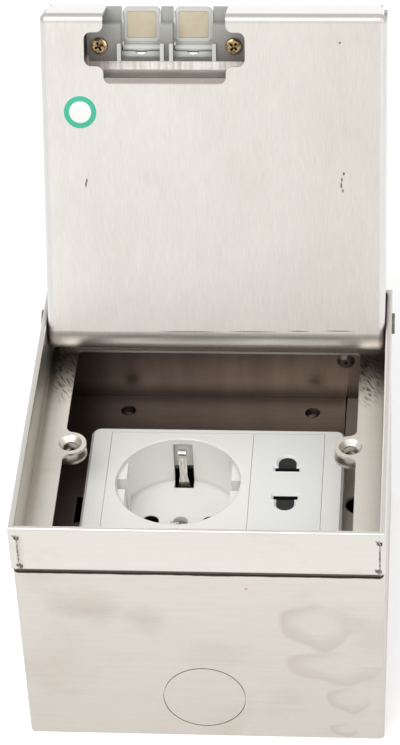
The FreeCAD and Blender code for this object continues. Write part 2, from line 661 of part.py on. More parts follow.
def frame_surround():
    """Square frame of one sheet: outer skirt, hemmed rim, inner wall, ledge and two ears."""
    body = new_body("frame_surround")
    add(body, "block", "XY", "box_top", "total_height", centred("frame_width", "frame_depth"))
    cut(body, "well", "XY", "ledge_top", "total_height",
        centred("frame_width - 2 * frame_wall", "frame_depth - 2 * frame_wall"))
    cut(body, "opening", "XY", "box_top", "ledge_top", centred("2 * opening_x", "2 * opening_y"))
    round_off(body, "opening_corners", "ledge_corner",
              lambda e: upright(e) and near(e, x="opening_x"))
    cut(body, "below_skirt", "XY", "box_top", "skirt_low", centred("frame_width", "frame_depth"),
        centred("frame_width - 2 * frame_sheet", "frame_depth - 2 * frame_sheet"))
    ear = "ear_x"
    add(body, "ear_roots", "XY", "box_top", "ledge_top",
        box("-opening_x - frame_sheet", "-" + ear, "-ear_radius", "ear_radius"),
        box(ear, "opening_x + frame_sheet", "-ear_radius", "ear_radius"))
    add(body, "ear_ends", "XY", "box_top", "ledge_top",
        ("-" + ear, "0", "ear_radius"), (ear, "0", "ear_radius"))
    round_off(body, "ear_fillets", "ear_fillet",
              lambda e: upright(e) and near(e, x="opening_x", y="ear_radius"))
    foot = "ledge_top - dimple_depth - frame_sheet / 2"
    for name, x in (("left", "-" + ear), ("right", ear)):
        spin(body, name + "_dimple", "Revolution", x, "0",
             [("0", "ledge_top"), ("dimple_radius + frame_sheet / 2", "ledge_top"),
              ("dimple_radius + frame_sheet / 2", "box_top"),
              ("ear_hole_radius + frame_sheet", foot), ("0", foot)])
        spin(body, name + "_countersink", "Groove", x, "0",
             [("0", "ledge_top"), ("dimple_radius", "ledge_top"),
              ("ear_hole_radius", "ledge_top - dimple_depth"), ("ear_hole_radius", foot), ("0", foot)])
    half, wide = "slit_width / 2", "relief_width / 2"
    top = "total_height - slit_top"
    for end, low, high in (("front", "-frame_y", "frame_sheet - frame_y"),
                           ("rear", "frame_y - frame_sheet", "frame_y")):
        for side, x in (("left", "slit_left - frame_x"), ("right", "frame_x - slit_right")):
            cut(body, "%s_%s_slit" % (end, side), "XZ", low, high,
                box("%s - %s" % (x, half), "%s + %s" % (x, half), "skirt_low", top))
            cut(body, "%s_%s_relief" % (end, side), "XZ", low, high,
                box("%s - %s" % (x, wide), "%s + %s" % (x, wide), top + " - relief_width", top))
    cut(body, "pin_holes", "YZ", "-frame_x", "frame_x", ("hinge_y", "hinge_z", "pin_radius + rivet_gap"))
    round_off(body, "hem", "hem_radius",
              lambda e: near(e, z="total_height") and (along(e, V(1, 0, 0)) or along(e, V(0, 1, 0))))
    keep(body)


def hinge_pins():
    """Two short pins riveted in the frame's side walls. The lid turns on them."""
    reach = "frame_x - lid_x + lid_sheet + pin_end"
    for side in ("left", "right"):
        start = "-frame_x" if side == "left" else "frame_x - (%s)" % reach
        head_start = "-frame_x - pin_head" if side == "left" else "frame_x"
        shank = cylinder("pin_shank_" + side, "X", start, "hinge_y", "hinge_z", "pin_radius", reach)
        head = cylinder("pin_head_" + side, "X", head_start, "hinge_y", "hinge_z",
                        "pin_head_radius", "pin_head")
        keep(joined("hinge_pin_" + side, [shank, head]))


# ---------------------------------------------------------------- lid

def outlet():
    """Plan of the cable outlet: a neck at the front, wide ends for the screws, a slot behind."""
    neck, wide = "neck_width / 2", "outlet_width / 2"
    front, step = "lid_front - lid_sheet", "lid_front + outlet_step"
    wide_end, back = "lid_front + outlet_wide_end", "lid_front + outlet_end"
    left = [(-1, neck, front), (-1, neck, step), (-1, wide, step), (-1, wide, wide_end),
            (-1, neck, wide_end), (-1, neck, back)]
    right = [(1, half, y) for _, half, y in reversed(left)]
    return [("outlet_x %s %s" % ("+" if side > 0 else "-", half), y) for side, half, y in left + right]


def lid_tray():
    """Deep tray that takes a tile on its upper side. Folded from one sheet, front corners open."""
    body = new_body("lid_tray")
    add(body, "tray", "YZ", "-lid_x", "lid_x", box("lid_front", "lid_rear", "lid_under", "total_height"))
    round_off(body, "rear_bend", "lid_rear_bend", lambda e: near(e, y="lid_rear", z="lid_under"))
    round_off(body, "front_bend", "lid_front_bend", lambda e: near(e, y="lid_front", z="lid_under"))
    round_off(body, "side_bends", "lid_side_bend",
              lambda e: along(e, V(0, 1, 0)) and near(e, z="lid_under"))
    doc.recompute()
    base = body.Tip
    top = [i for i, face in enumerate(base.Shape.Faces) if near(face, z="total_height")]
    shell = body.newObject("PartDesign::Thickness", "shell")
    shell.Base = (base, ["Face%d" % (top[0] + 1)])
    shell.setExpression("Value", bind("lid_sheet"))
    shell.Join = 1
    shell.Reversed = True
    doc.recompute()
    past_y, past_z = "lid_rear + lid_sheet", "total_height + lid_sheet"
    cut(body, "rear_corner", "YZ", "-lid_x", "lid_x",
        [("chamfer_y", "total_height"), ("lid_rear", "chamfer_z"), (past_y, "chamfer_z"),
         (past_y, past_z), ("chamfer_y", past_z)])
    slot = "lid_corner_slot"
    bend_top = "lid_under + lid_front_bend"
    cut(body, "open_corners", "XY", bend_top, "total_height",
        box("-lid_x", slot + " - lid_x", "lid_front", "lid_front + " + slot),
        box("lid_x - " + slot, "lid_x", "lid_front", "lid_front + " + slot))
    cut(body, "outlet", "XY", "lid_under", "lid_floor", outlet())
    half = "neck_width / 2"
    cut(body, "outlet_front", "XY", "lid_under", "total_height",
        box("outlet_x - " + half, "outlet_x + " + half, "lid_front - lid_sheet",
            "lid_front + lid_front_bend"))
    round_off(body, "outlet_corners", "outlet_corner",
              lambda e: upright(e) and near(e, z="lid_under + lid_sheet / 2")
              and e.CenterOfMass.y > value("lid_front + lid_front_bend") + SLACK)
    cut(body, "pin_holes", "YZ", "-lid_x", "lid_x", ("hinge_y", "hinge_z", "pin_radius + pin_gap"))
    keep(body, on_lid=True)


SCREW_PLACES = [("outlet_x %s bracket_screw_x" % way, "lid_front + bracket_screw_y") for way in "+-"]


def outlet_hood():
    """Steel hood welded inside the tray: three walls and a roof round the outlet."""
    body = new_body("outlet_hood")
    inner_left, inner_right = "outlet_x - hood_half", "outlet_x + hood_half"
    front = "lid_front + lid_front_bend"
    left, right = inner_left + " - hood_sheet", inner_right + " + hood_sheet"
    add(body, "hood", "XY", "lid_floor", "hood_top", box(left, right, front, "hood_back + hood_sheet"))
    cut(body, "hood_inside", "XY", "lid_floor", "hood_under",
        box(inner_left, inner_right, front, "hood_back"))
    add(body, "welding_flange", "XY", "lid_floor", "lid_floor + hood_sheet",
        box(left, right, "hood_back", "lid_front + outlet_end + hood_flange"))
    span = "(flap_pitch / 2 + bay_half)"
    cut(body, "flap_opening", "XY", "hood_under", "hood_top",
        box("outlet_x - " + span, "outlet_x + " + span, front, "bay_back"))
    cut(body, "screw_holes", "XY", "hood_under", "hood_top",
        *[(x, y, "brass_shank") for x, y in SCREW_PLACES])
    keep(body, on_lid=True)


def flap_bracket():
    """Moulded bracket that hangs below the hood's roof, with a bay and two hinge ears per flap."""
    body = new_body("flap_bracket")
    top = "hood_under - bracket_gap"
    web_under = top + " - bracket_web"
    low = "lid_under + bracket_depth"
    web_front, rear = "lid_front + lid_sheet + bracket_gap", "lid_front + bracket_rear"
    left, right = "outlet_x - bracket_half", "outlet_x + bracket_half"
    tongue = "(neck_width / 2 - bracket_gap)"
    add(body, "web", "XY", web_under, top, box(left, right, web_front, rear))
    add(body, "tongue", "XY", web_under, top,
        box("outlet_x - " + tongue, "outlet_x + " + tongue, "lid_front + bracket_gap", web_front))
    add(body, "block", "XY", low, top, box(left, right, "lid_front + bracket_front", rear))
    for side, name in (("-", "left"), ("+", "right")):
        centre = "(outlet_x %s flap_pitch / 2)" % side
        cut(body, name + "_bay", "XY", low, top,
            box(centre + " - bay_half", centre + " + bay_half", "lid_front", "bay_back"))
        for way, ear in (("-", "_outer_ear"), ("+", "_inner_ear")):
            inner = "%s %s (flap_width / 2 + ear_clearance)" % (centre, way)
            outer = "%s %s ear_thickness" % (inner, way)
            low_x, high_x = (outer, inner) if way == "-" else (inner, outer)
            add(body, name + ear, "XY", "knuckle_z - ear_reach", top,
                box(low_x, high_x, "lid_front + ear_front", rear))
    cut(body, "rod_bore", "YZ", left, right, ("flap_y", "knuckle_z", "rod_radius + rivet_gap"))
    cut(body, "screw_holes", "XY", low, top, *[(x, y, "brass_shank + rivet_gap") for x, y in SCREW_PLACES])
    keep(body, on_lid=True)


def brass_screws():
    """Two pan-head screws that hold the bracket to the hood, seen from under the lid."""
    body = new_body("bracket_screws")
    low = "lid_under + bracket_depth"
    add(body, "shanks", "XY", low, "hood_top",
        *[(x, y, "brass_shank - rivet_gap") for x, y in SCREW_PLACES])
    add(body, "heads", "XY", low + " - brass_head", low,
        *[(x, y, "brass_head_radius") for x, y in SCREW_PLACES])
    keep(body, on_lid=True)


def flap(name, side):
    """Cable flap: a framed plate with a soft pad below and a barrel on the hinge rod."""
    centre = "(outlet_x %s flap_pitch / 2)" % side
    low_x, high_x = centre + " - flap_width / 2", centre + " + flap_width / 2"
    top = "flap_under + flap_thickness"
    front, rear = "lid_front + flap_front", "lid_front + flap_rear"
    body = new_body("flap_" + name)
    add(body, "plate", "XY", "flap_under", top, box(low_x, high_x, front, rear))
    round_off(body, "plate_corners", "flap_corner", upright)
    add(body, "neck", "XY", "flap_under + flap_neck", "knuckle_z + knuckle_radius",
        box(low_x, high_x, rear + " - flap_corner", "flap_y"))
    add(body, "barrel", "YZ", low_x, high_x, ("flap_y", "knuckle_z", "knuckle_radius"))
    cut(body, "recess", "XY", "flap_under", "flap_under + pad_depth",
        box(low_x + " + flap_rim", high_x + " - flap_rim", front + " + flap_rim", rear + " - flap_rim"))
    round_off(body, "recess_corners", "pad_corner",
              lambda e: upright(e) and near(e, z="flap_under + pad_depth / 2"))
    cut(body, "rod_bore", "YZ", low_x, high_x, ("flap_y", "knuckle_z", "rod_radius + rod_gap"))
    keep(body, on_lid=True)
    pad = new_body("flap_pad_" + name)
    inset = "(flap_rim + pad_gap)"
    add(pad, "pad", "XY", "flap_under + pad_sink", "flap_under + pad_depth",
        box("%s + %s" % (low_x, inset), "%s - %s" % (high_x, inset),
            "%s + %s" % (front, inset), "%s - %s" % (rear, inset)))
    round_off(pad, "pad_corners", "pad_corner", upright)
    keep(pad, on_lid=True)


def flap_rod():
    body = new_body("flap_rod")
    reach = "(flap_pitch / 2 + flap_width / 2 + ear_clearance + ear_thickness)"
    add(body, "rod", "YZ", "outlet_x - " + reach, "outlet_x + " + reach,
        ("flap_y", "knuckle_z", "rod_radius"))
    keep(body, on_lid=True)


# ---------------------------------------------------------------- sockets

def support_frame():
    """Moulded frame that carries both modules on the cradle, with a bevelled rim."""
    body = new_body("support_frame")
    add(body, "block", "XY", "cradle_top", "face_z",
        box("group_left - strip_width", "group_right + strip_width", "-support_half", "support_half"))
    round_off(body, "corners", "support_corner", upright)
    round_off(body, "bevel", "support_edge", lambda e: near(e, z="face_z"), kind="Chamfer")
    cut(body, "upper_window", "XY", "face_z - face_thickness", "face_z",
        box("group_left", "group_right", "-half_module", "half_module"))
    cut(body, "lower_window", "XY", "cradle_top", "face_z",
        box("group_left + seat_side", "group_right - seat_side", "seat_end - half_module",
            "half_module - seat_end"))
    keep(body)


def earthed_face():
    """Face and cup of the earthed module in one moulding, with a guide at each side of the cup."""
    body = new_body("earthed_face")
    gap = "module_gap"
    face_under = "face_z - face_thickness"
    add(body, "face", "XY", face_under, "face_z",
        box("group_left + " + gap, "split_x - %s / 2" % gap, gap + " - half_module", "half_module - " + gap))
    add(body, "cup", "XY", "cup_under", face_under, ("earthed_x", "0", "recess_radius + cup_wall"))
    cut(body, "recess", "XY", "cup_floor", "face_z", ("earthed_x", "0", "recess_radius"))
    round_off(body, "rim", "rim_round", lambda e: isinstance(e.Curve, Part.Circle) and near(e, z="face_z"))
    guide_top = "face_z - guide_drop"
    outer = "(recess_radius + cup_wall / 2)"
    half = "sqrt(recess_radius * recess_radius - guide_reach * guide_reach)"
    add(body, "guides", "XY", "cup_floor", guide_top,
        box("earthed_x - " + outer, "earthed_x - guide_reach", "-" + half, half),
        box("earthed_x + guide_reach", "earthed_x + " + outer, "-" + half, half))
    cut(body, "guide_backs", "XY", "cup_under", face_under,
        ("earthed_x", "0", "recess_radius + cup_wall"), ("earthed_x", "0", "recess_radius + 3 * cup_wall"))
    notch = "guide_notch / 2"
    cut(body, "guide_notches", "XY", "cup_floor", guide_top,
        box("earthed_x - notch_reach", "earthed_x + notch_reach", "-" + notch, notch))
    cut(body, "pin_holes", "XY", "cup_under", "cup_floor",
        ("earthed_x - pin_pitch / 2", "0", "pin_hole_radius"),
        ("earthed_x + pin_pitch / 2", "0", "pin_hole_radius"), ("earthed_x", "0", "centre_shank"))
    cut(body, "screw_seat", "XY", "cup_floor - screw_seat_depth", "cup_floor",
        ("earthed_x", "0", "screw_seat"))
    slot = "clip_slot / 2"
    inner, outer = "(clip_y - clip_sheet - cup_wall)", "(recess_radius + cup_wall)"
    cut(body, "clip_slots", "XY", "cup_under", face_under,
        box("earthed_x - " + slot, "earthed_x + " + slot, "-" + outer, "-" + inner),
        box("earthed_x - " + slot, "earthed_x + " + slot, inner, outer))
    keep(body)


def earth_clip():
    """Nickel strip below the cup, with a leg up each slot that ends in a curled tip."""
    clip = new_body("earth_clip")
    half, leg = "clip_width / 2", "clip_leg / 2"
    add(clip, "strip", "XY", "clip_base", "clip_base + clip_sheet",
        box("earthed_x - " + half, "earthed_x + " + half, "-clip_y", "clip_y"))
    tip = "face_z - face_thickness - pin_gap - clip_curl"
    foot = "clip_foot / 2"
    for name, low, high, curl in (("front", "-clip_y", "clip_sheet - clip_y", "clip_curl - clip_y"),
                                  ("rear", "clip_y - clip_sheet", "clip_y", "clip_y - clip_curl")):
        add(clip, name + "_leg", "XZ", low, high,
            box("earthed_x - " + leg, "earthed_x + " + leg, "clip_base", tip))
        add(clip, name + "_foot", "XZ", low, high,
            [("earthed_x - " + foot, "clip_base"), ("earthed_x + " + foot, "clip_base"),
             ("earthed_x + " + leg, "cup_floor + clip_flare"),
             ("earthed_x - " + leg, "cup_floor + clip_flare")])
        add(clip, name + "_curl", "YZ", "earthed_x - " + leg, "earthed_x + " + leg,
            (curl, tip, "clip_curl"))
        cut(clip, name + "_hollow", "YZ", "earthed_x - " + leg, "earthed_x + " + leg,
            (curl, tip, "clip_bore"))
    cut(clip, "screw_hole", "XY", "clip_base", "clip_base + clip_sheet", ("earthed_x", "0", "centre_shank"))
    keep(clip)


def earthed_housing():
    """Rear housing of the earthed module, with the post that the centre screw enters."""
    housing = new_body("earthed_housing")
    wall = "cup_wall"
    out_x, out_y = "(half_module - 2 * cup_wall)", "(window_y - cup_wall)"
    add(housing, "block", "XY", "back_z", "cup_under",
        box("earthed_x - " + out_x, "earthed_x + " + out_x, "-" + out_y, out_y))
    round_off(housing, "block_corners", "2 * cup_wall", upright)
    cut(housing, "cavity", "XY", "back_z + " + wall, "cup_under",
        box("earthed_x - %s + %s" % (out_x, wall), "earthed_x + %s - %s" % (out_x, wall),
            "%s - %s" % (wall, out_y), "%s - %s" % (out_y, wall)))
    post_top = "clip_base - pin_gap"
    add(housing, "post", "XY", "back_z", post_top, ("earthed_x", "0", "post_radius"))
    cut(housing, "post_bore", "XY", "back_z + cup_wall", post_top, ("earthed_x", "0", "centre_shank"))
    keep(housing)

    contacts = new_body("pin_contacts")
    for name, x in (("left", "earthed_x - pin_pitch / 2"), ("right", "earthed_x + pin_pitch / 2")):
        add(contacts, name + "_sleeve", "XY", "back_z + cup_wall", "cup_under",
            (x, "0", "sleeve_radius + clip_sheet"), (x, "0", "sleeve_radius"))
    keep(contacts)

    seat = "cup_floor - screw_seat_depth"
    shank = cylinder("centre_screw_shank", "Z", "earthed_x", "0", "back_z + cup_wall",
                     "centre_shank - rivet_gap", seat + " - back_z - cup_wall")
    head = cylinder("centre_screw_head", "Z", "earthed_x", "0", seat, "centre_head", "centre_head_height")
    keep(joined("centre_screw", [shank, head]))


def twin_socket():
    """Narrow module for flat or round two-pin plugs."""
    body = new_body("twin_face")
    gap = "module_gap"
    seat = "face_z - shutter_drop"
    low_x, high_x = "split_x + %s / 2" % gap, "group_right - " + gap
    add(body, "face", "XY", "face_z - face_thickness", "face_z",
        box(low_x, high_x, gap + " - half_module", "half_module - " + gap))
    flat_low, flat_high = "(flat_pitch / 2 - flat_width / 2)", "(flat_pitch / 2 + flat_width / 2)"
    dome = "(%s + round_reach + flat_width - round_radius)" % flat_low
    for name, way in (("rear", ""), ("front", "-")):
        flat = (flat_low, flat_high) if not way else ("-" + flat_high, "-" + flat_low)
        stem = (flat_low, dome) if not way else ("-" + dome, "-" + flat_low)
        cut(body, name + "_flat", "XY", seat, "face_z",
            box("twin_x - flat_length / 2", "twin_x + flat_length / 2", *flat))
        cut(body, name + "_stem", "XY", seat, "face_z",
            box("twin_x - round_radius", "twin_x + round_radius", *stem))
        cut(body, name + "_round", "XY", seat, "face_z", ("twin_x", way + dome, "round_radius"))
    insert_x, insert_y = "insert_width / 2", "insert_depth / 2"
    inner_y = value("%s + insert_gap" % insert_y)
    round_off(body, "opening_bevels", "opening_bevel", lambda e: near(e, z="face_z")
              and abs(e.CenterOfMass.x - value("twin_x")) < value("flat_length / 2") + SLACK
              and abs(e.CenterOfMass.y) < inner_y, kind="Chamfer")
    cut(body, "insert_seat", "XY", "face_z - face_thickness", seat,
        box("twin_x - %s - insert_gap" % insert_x, "twin_x + %s + insert_gap" % insert_x,
            "-%s - insert_gap" % insert_y, "%s + insert_gap" % insert_y))
    keep(body)

    insert = new_body("twin_insert")
    insert_under = "face_z - 3 * face_thickness"
    add(insert, "block", "XY", insert_under, seat,
        box("twin_x - " + insert_x, "twin_x + " + insert_x, "-" + insert_y, insert_y))
    for name, flat in (("rear", (flat_low, flat_high)), ("front", ("-" + flat_high, "-" + flat_low))):
        cut(insert, name + "_slot", "XY", insert_under, seat,
            box("twin_x - flat_length / 2", "twin_x + flat_length / 2", *flat))
    keep(insert)

    housing = new_body("twin_housing")
    wall = "cup_wall"
    out_x, out_y = "(module_size / 4 - 2 * cup_wall)", "(window_y - cup_wall)"
    top = "face_z - face_thickness"
    add(housing, "block", "XY", "back_z", top,
        box("twin_x - " + out_x, "twin_x + " + out_x, "-" + out_y, out_y))
    round_off(housing, "block_corners", "cup_wall", upright)
    cut(housing, "cavity", "XY", "back_z + " + wall, top,
        box("twin_x - %s + %s" % (out_x, wall), "twin_x + %s - %s" % (out_x, wall),
            "%s - %s" % (wall, out_y), "%s - %s" % (out_y, wall)))
    keep(housing)

    contacts = new_body("twin_contacts")
    for name, way in (("rear", ""), ("front", "-")):
        for side, shift in (("near", "-"), ("far", "+")):
            centre = "(%sflat_pitch / 2 %s (flat_width / 2 + clip_sheet))" % (way, shift)
            add(contacts, "%s_%s" % (name, side), "XZ",
                centre + " - clip_sheet / 2", centre + " + clip_sheet / 2",
                box("twin_x - flat_length / 2", "twin_x + flat_length / 2", "back_z + cup_wall",
                    insert_under + " - pin_gap"))
    keep(contacts)


back_box()
box_pan()
side_rivets("pan_rivets", "pan_rivet_pitch", "pan_rivet_height", "box_sheet", "pan_gap")
seam_rivets()
lug_bracket("lug_bracket_left", -1)
lug_bracket("lug_bracket_right", 1)
side_rivets("lug_rivets", "lug_rivet_pitch", "lug_rivet_z", "lug_sheet", "0")
cradle()
stay()
side_rivets("cradle_rivets", "cradle_rivet_pitch", "cradle_rivet_z", "cradle_sheet", "cradle_gap")
earth_terminal()
frame_surround()
hinge_pins()
lid_tray()
outlet_hood()
flap_bracket()
brass_screws()
flap("left", "-")
flap("right", "+")
flap_rod()
support_frame()
earthed_face()
earth_clip()
earthed_housing()
twin_socket()

doc.recompute()

for item in doc.Objects:
    if "Invalid" in item.State or "Error" in item.State:
        raise RuntimeError("%s did not build: %s" % (item.Label, item.State))
for piece in NODES:
    if piece.Shape.isNull() or not piece.Shape.isValid():
        raise RuntimeError(piece.Label + " has no valid shape")

os.makedirs("parts", exist_ok=True)
for piece in NODES:
    piece.Shape.exportStep("parts/%s.step" % piece.Label)
    bounds = piece.Shape.BoundBox
    print("%-20s %2d solids  %8.1f mm3  z %6.1f to %6.1f" % (
        piece.Label, len(piece.Shape.Solids), piece.Shape.Volume, bounds.ZMin, bounds.ZMax))
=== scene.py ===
from math import cos, pi, radians, sin

import bmesh
import bpy
from mathutils import Matrix, Vector, noise


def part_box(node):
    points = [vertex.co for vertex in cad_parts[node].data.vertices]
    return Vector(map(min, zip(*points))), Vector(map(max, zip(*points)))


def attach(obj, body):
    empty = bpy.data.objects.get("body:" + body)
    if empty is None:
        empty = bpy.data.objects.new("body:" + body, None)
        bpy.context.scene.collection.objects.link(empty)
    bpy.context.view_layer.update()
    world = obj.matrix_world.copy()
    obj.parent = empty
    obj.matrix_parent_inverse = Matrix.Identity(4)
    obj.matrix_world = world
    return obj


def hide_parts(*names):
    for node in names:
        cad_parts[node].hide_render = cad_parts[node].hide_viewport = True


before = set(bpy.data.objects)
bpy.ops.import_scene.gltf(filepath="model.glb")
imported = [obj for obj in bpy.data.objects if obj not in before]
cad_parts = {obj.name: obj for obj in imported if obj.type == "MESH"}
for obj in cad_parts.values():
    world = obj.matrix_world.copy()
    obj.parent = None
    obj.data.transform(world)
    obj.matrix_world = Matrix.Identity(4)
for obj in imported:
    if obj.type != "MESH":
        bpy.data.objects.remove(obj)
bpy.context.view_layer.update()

MM = 0.001

# ---- Back box ------------------------------------------------------------------------------
# One band of satin stainless sheet, folded round four corners and closed by a butt seam at the
# rear. Handling and drying water have left faint brown smudges and rings on its outside.

STEEL = (0.625, 0.592, 0.545, 1)
STEEL_LOW = (0.545, 0.518, 0.475, 1)
INSIDE_SHADE_LEFT = (0.22, 0.190, 0.168, 1)
INSIDE_SHADE_RIGHT = (0.43, 0.372, 0.325, 1)
SMUDGE = (0.50, 0.415, 0.34, 1)
WATER_STAIN = (0.40, 0.315, 0.26, 1)
SKIRT_SHADOW = (0.060, 0.052, 0.042, 1)
INSIDE_STREAK = (0.12, 0.10, 0.088, 1)
INSIDE_SHADE = (0.05, 0.042, 0.038, 1)
# Marks on the front, in millimetres: middle across and up, reach across and up, strength.
SMUDGES = (((-32.8, 52.6), (12.5, 7.5), 0.36), ((-16.6, 49.0), (8.0, 8.5), 0.34))
WATER_MARKS = (((34.5, 47.5), (10.0, 9.5), 0.38), ((40.0, 30.5), (13.5, 7.0), 0.32),
               ((44.0, 16.5), (6.2, 5.5), 0.34), ((42.5, 3.5), (4.0, 2.8), 0.42))
FLECK_AT, FLECK_REACH, FLECK_STRENGTH = (14.1, 63.3), (0.7, 0.6), 0.9


def new_material(name):
    """An empty node material."""
    made = bpy.data.materials.new(name)
    made.use_nodes = True
    made.node_tree.nodes.clear()
    return made


def wire(material, kind, inputs=None, **settings):
    """Add one shader node. An input is a plain value or the output of another node."""
    made = material.node_tree.nodes.new("ShaderNode" + kind)
    for name, value in settings.items():
        setattr(made, name, value)
    for key, value in (inputs or {}).items():
        if isinstance(value, bpy.types.NodeSocket):
            material.node_tree.links.new(value, made.inputs[key])
        else:
            made.inputs[key].default_value = value
    return made.outputs[0] if made.outputs else made


def place(material):
    """Each point's own place in metres; it stays with the piece when the piece moves."""
    return material.node_tree.nodes.new("ShaderNodeTexCoord").outputs["Object"]


def along(material, axis):
    """That place along one axis."""
    parts = wire(material, "SeparateXYZ", {0: place(material)})
    return parts.node.outputs[axis]


def grain(material, size, turn=(0, 0, 0), detail=3.0):
    """Noise from 0 to 1 whose features have this size in metres, turned with the sheet."""
    at = wire(material, "Mapping", {"Vector": place(material), "Rotation": turn, "Scale": size},
              vector_type="TEXTURE")
    return wire(material, "TexNoise", {"Vector": at, "Scale": 1.0, "Detail": detail, "Roughness": 0.6})


def ramp(material, value, low, high, out_low=0.0, out_high=1.0):
    """Map the value's stretch from low to high on to another stretch, and stop at its ends."""
    return wire(material, "MapRange", {0: value, 1: low, 2: high, 3: out_low, 4: out_high})


def reckon(material, operation, *values):
    """One sum on plain values or shader outputs."""
    return wire(material, "Math", dict(enumerate(values)), operation=operation)


def between(material, value, start, full, fade, end):
    """1 from full to fade, falling to 0 at start and at end."""
    return reckon(material, "MULTIPLY", ramp(material, value, start, full),
                  ramp(material, value, fade, end, 1, 0))


def mixed(material, share, first, second, blend="MIX"):
    """The first colour, giving way to the second by this share."""
    return wire(material, "MixRGB", {"Fac": share, "Color1": first, "Color2": second}, blend_type=blend)


def spread(material, middle, reach, turn=(0, 0, 0), wander=0.0):
    """Distance from a middle, counted in its reach along each axis, with an uneven outline."""
    at = wire(material, "Mapping", {"Vector": place(material), "Location": middle, "Rotation": turn,
                                    "Scale": reach}, vector_type="TEXTURE")
    far = wire(material, "VectorMath", {0: at}, operation="LENGTH").node.outputs["Value"]
    if not wander:
        return far
    rough = wire(material, "TexNoise", {"Vector": at, "Scale": 0.9, "Detail": 1.0})
    return reckon(material, "ADD", far, ramp(material, rough, 0.3, 0.7, -wander, wander))


def spot(material, middle, reach, turn=(0, 0, 0), edge=0.3, wander=0.0):
    """A soft patch: 1 at its middle, falling to 0 at its reach."""
    return ramp(material, spread(material, middle, reach, turn, wander), edge, 1.0, 1.0, 0.0)


def water_mark(material, middle, reach, wander=0.22):
    """A dried drop: it darkens towards an edge that is sharp on its lower left only."""
    far = spread(material, middle, reach, wander=wander)
    line = between(material, far, 0.35, 0.95, 0.95, 1.12)
    x, y, z = middle
    upper_right = (x + reach[0] * 0.6, y, z + reach[2] * 0.55)
    opposite = spot(material, upper_right, [size * 1.25 for size in reach], edge=0.2)
    return reckon(material, "MULTIPLY", line, ramp(material, opposite, 0.0, 0.9, 1.0, 0.1))


def most(material, *shares):
    """The strongest of several patches."""
    strongest = shares[0]
    for share in shares[1:]:
        strongest = reckon(material, "MAXIMUM", strongest, share)
    return strongest


def faded(material, share, strength):
    """A patch made weaker."""
    return reckon(material, "MULTIPLY", share, strength)


def surface(material, colour, roughness, height=None, depth=0.00002, bump=0.3, **shader):
    """The shader itself, and a bump from a height where there is one."""
    inputs = {"Base Color": colour, "Roughness": roughness}
    inputs.update({key.replace("_", " "): value for key, value in shader.items()})
    if height is not None:
        inputs["Normal"] = wire(material, "Bump", {"Height": height, "Strength": bump, "Distance": depth})
    made = wire(material, "BsdfPrincipled", inputs)
    wire(material, "OutputMaterial", {"Surface": made})
    return material


def brushed(material, colour, turn, length, across=0.00028, contrast=0.08, wide_share=0.4):
    """Brushing: fine lines along one axis of the sheet, in fainter and stronger bands."""
    fine = grain(material, (across, length, across), turn, 2.0)
    wide = grain(material, (across * 5, length * 2.5, across * 5), turn, 2.0)
    both = reckon(material, "ADD", faded(material, fine, 1 - wide_share), faded(material, wide, wide_share))
    shade = ramp(material, both, 0.3, 0.7, 1 - contrast, 1 + contrast * 0.6)
    dark = wire(material, "CombineColor", {0: shade, 1: shade, 2: shade})
    return mixed(material, 1.0, colour, dark, "MULTIPLY"), both


def finish(material, *names):
    """Give CAD pieces this material."""
    for name in names:
        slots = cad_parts[name].data.materials
        slots.clear()
        slots.append(material)


BOX_LOW, BOX_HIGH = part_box("back_box")
FRONT = BOX_LOW.y
CRADLE_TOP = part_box("conduit_stay")[1].z
LEVEL = (0, 0, -pi / 2)          # turn of a brushing that runs from side to side


def on_front(at, reach):
    """Middle and reach of a mark on the box's front, from millimetres."""
    return (at[0] * MM, FRONT, at[1] * MM), (reach[0] * MM, 10 * MM, reach[1] * MM)


def inside_band(material):
    """1 within the folded band and 0 on its outer faces."""
    walls = [ramp(material, reckon(material, "ABSOLUTE", along(material, axis)),
                  half - 0.9 * MM, half - 0.6 * MM, 1, 0)
             for axis, half in enumerate((BOX_HIGH.x, BOX_HIGH.y))]
    return reckon(material, "MULTIPLY", *walls)


box_steel = new_material("box_steel")
within = inside_band(box_steel)
height = along(box_steel, 2)
patch = grain(box_steel, (0.03, 0.03, 0.022), detail=4.0)
dark_patches = [faded(box_steel, spot(box_steel, *on_front(at, reach), edge=0.0, wander=0.3), strength)
         for at, reach, strength in SMUDGES]
dark_patches += [faded(box_steel, water_mark(box_steel, *on_front(at, reach)), strength)
          for at, reach, strength in WATER_MARKS]
dark_patches.append(faded(box_steel, spot(box_steel, *on_front(FLECK_AT, FLECK_REACH)), FLECK_STRENGTH))
# Painted shadow: a thin dark band along the box's top edge, just under the frame's skirt.
ragged = grain(box_steel, (0.006, 0.006, 0.002), detail=2.0)
shadow_low_edge = ramp(box_steel, ragged, 0.3, 0.7, BOX_HIGH.z - 0.27 * MM, BOX_HIGH.z - 0.52 * MM)
painted_shade = ramp(box_steel, reckon(box_steel, "SUBTRACT", height, shadow_low_edge), 0.0, 0.2 * MM)
outside = mixed(box_steel, ramp(box_steel, height, 0.0, BOX_HIGH.z), STEEL_LOW, STEEL)
outside = mixed(box_steel, ramp(box_steel, patch, 0.52, 0.78, 0.0, 0.45), outside, SMUDGE)
outside = mixed(box_steel, most(box_steel, *dark_patches), outside, WATER_STAIN)
outside = mixed(box_steel, painted_shade, outside, SKIRT_SHADOW)

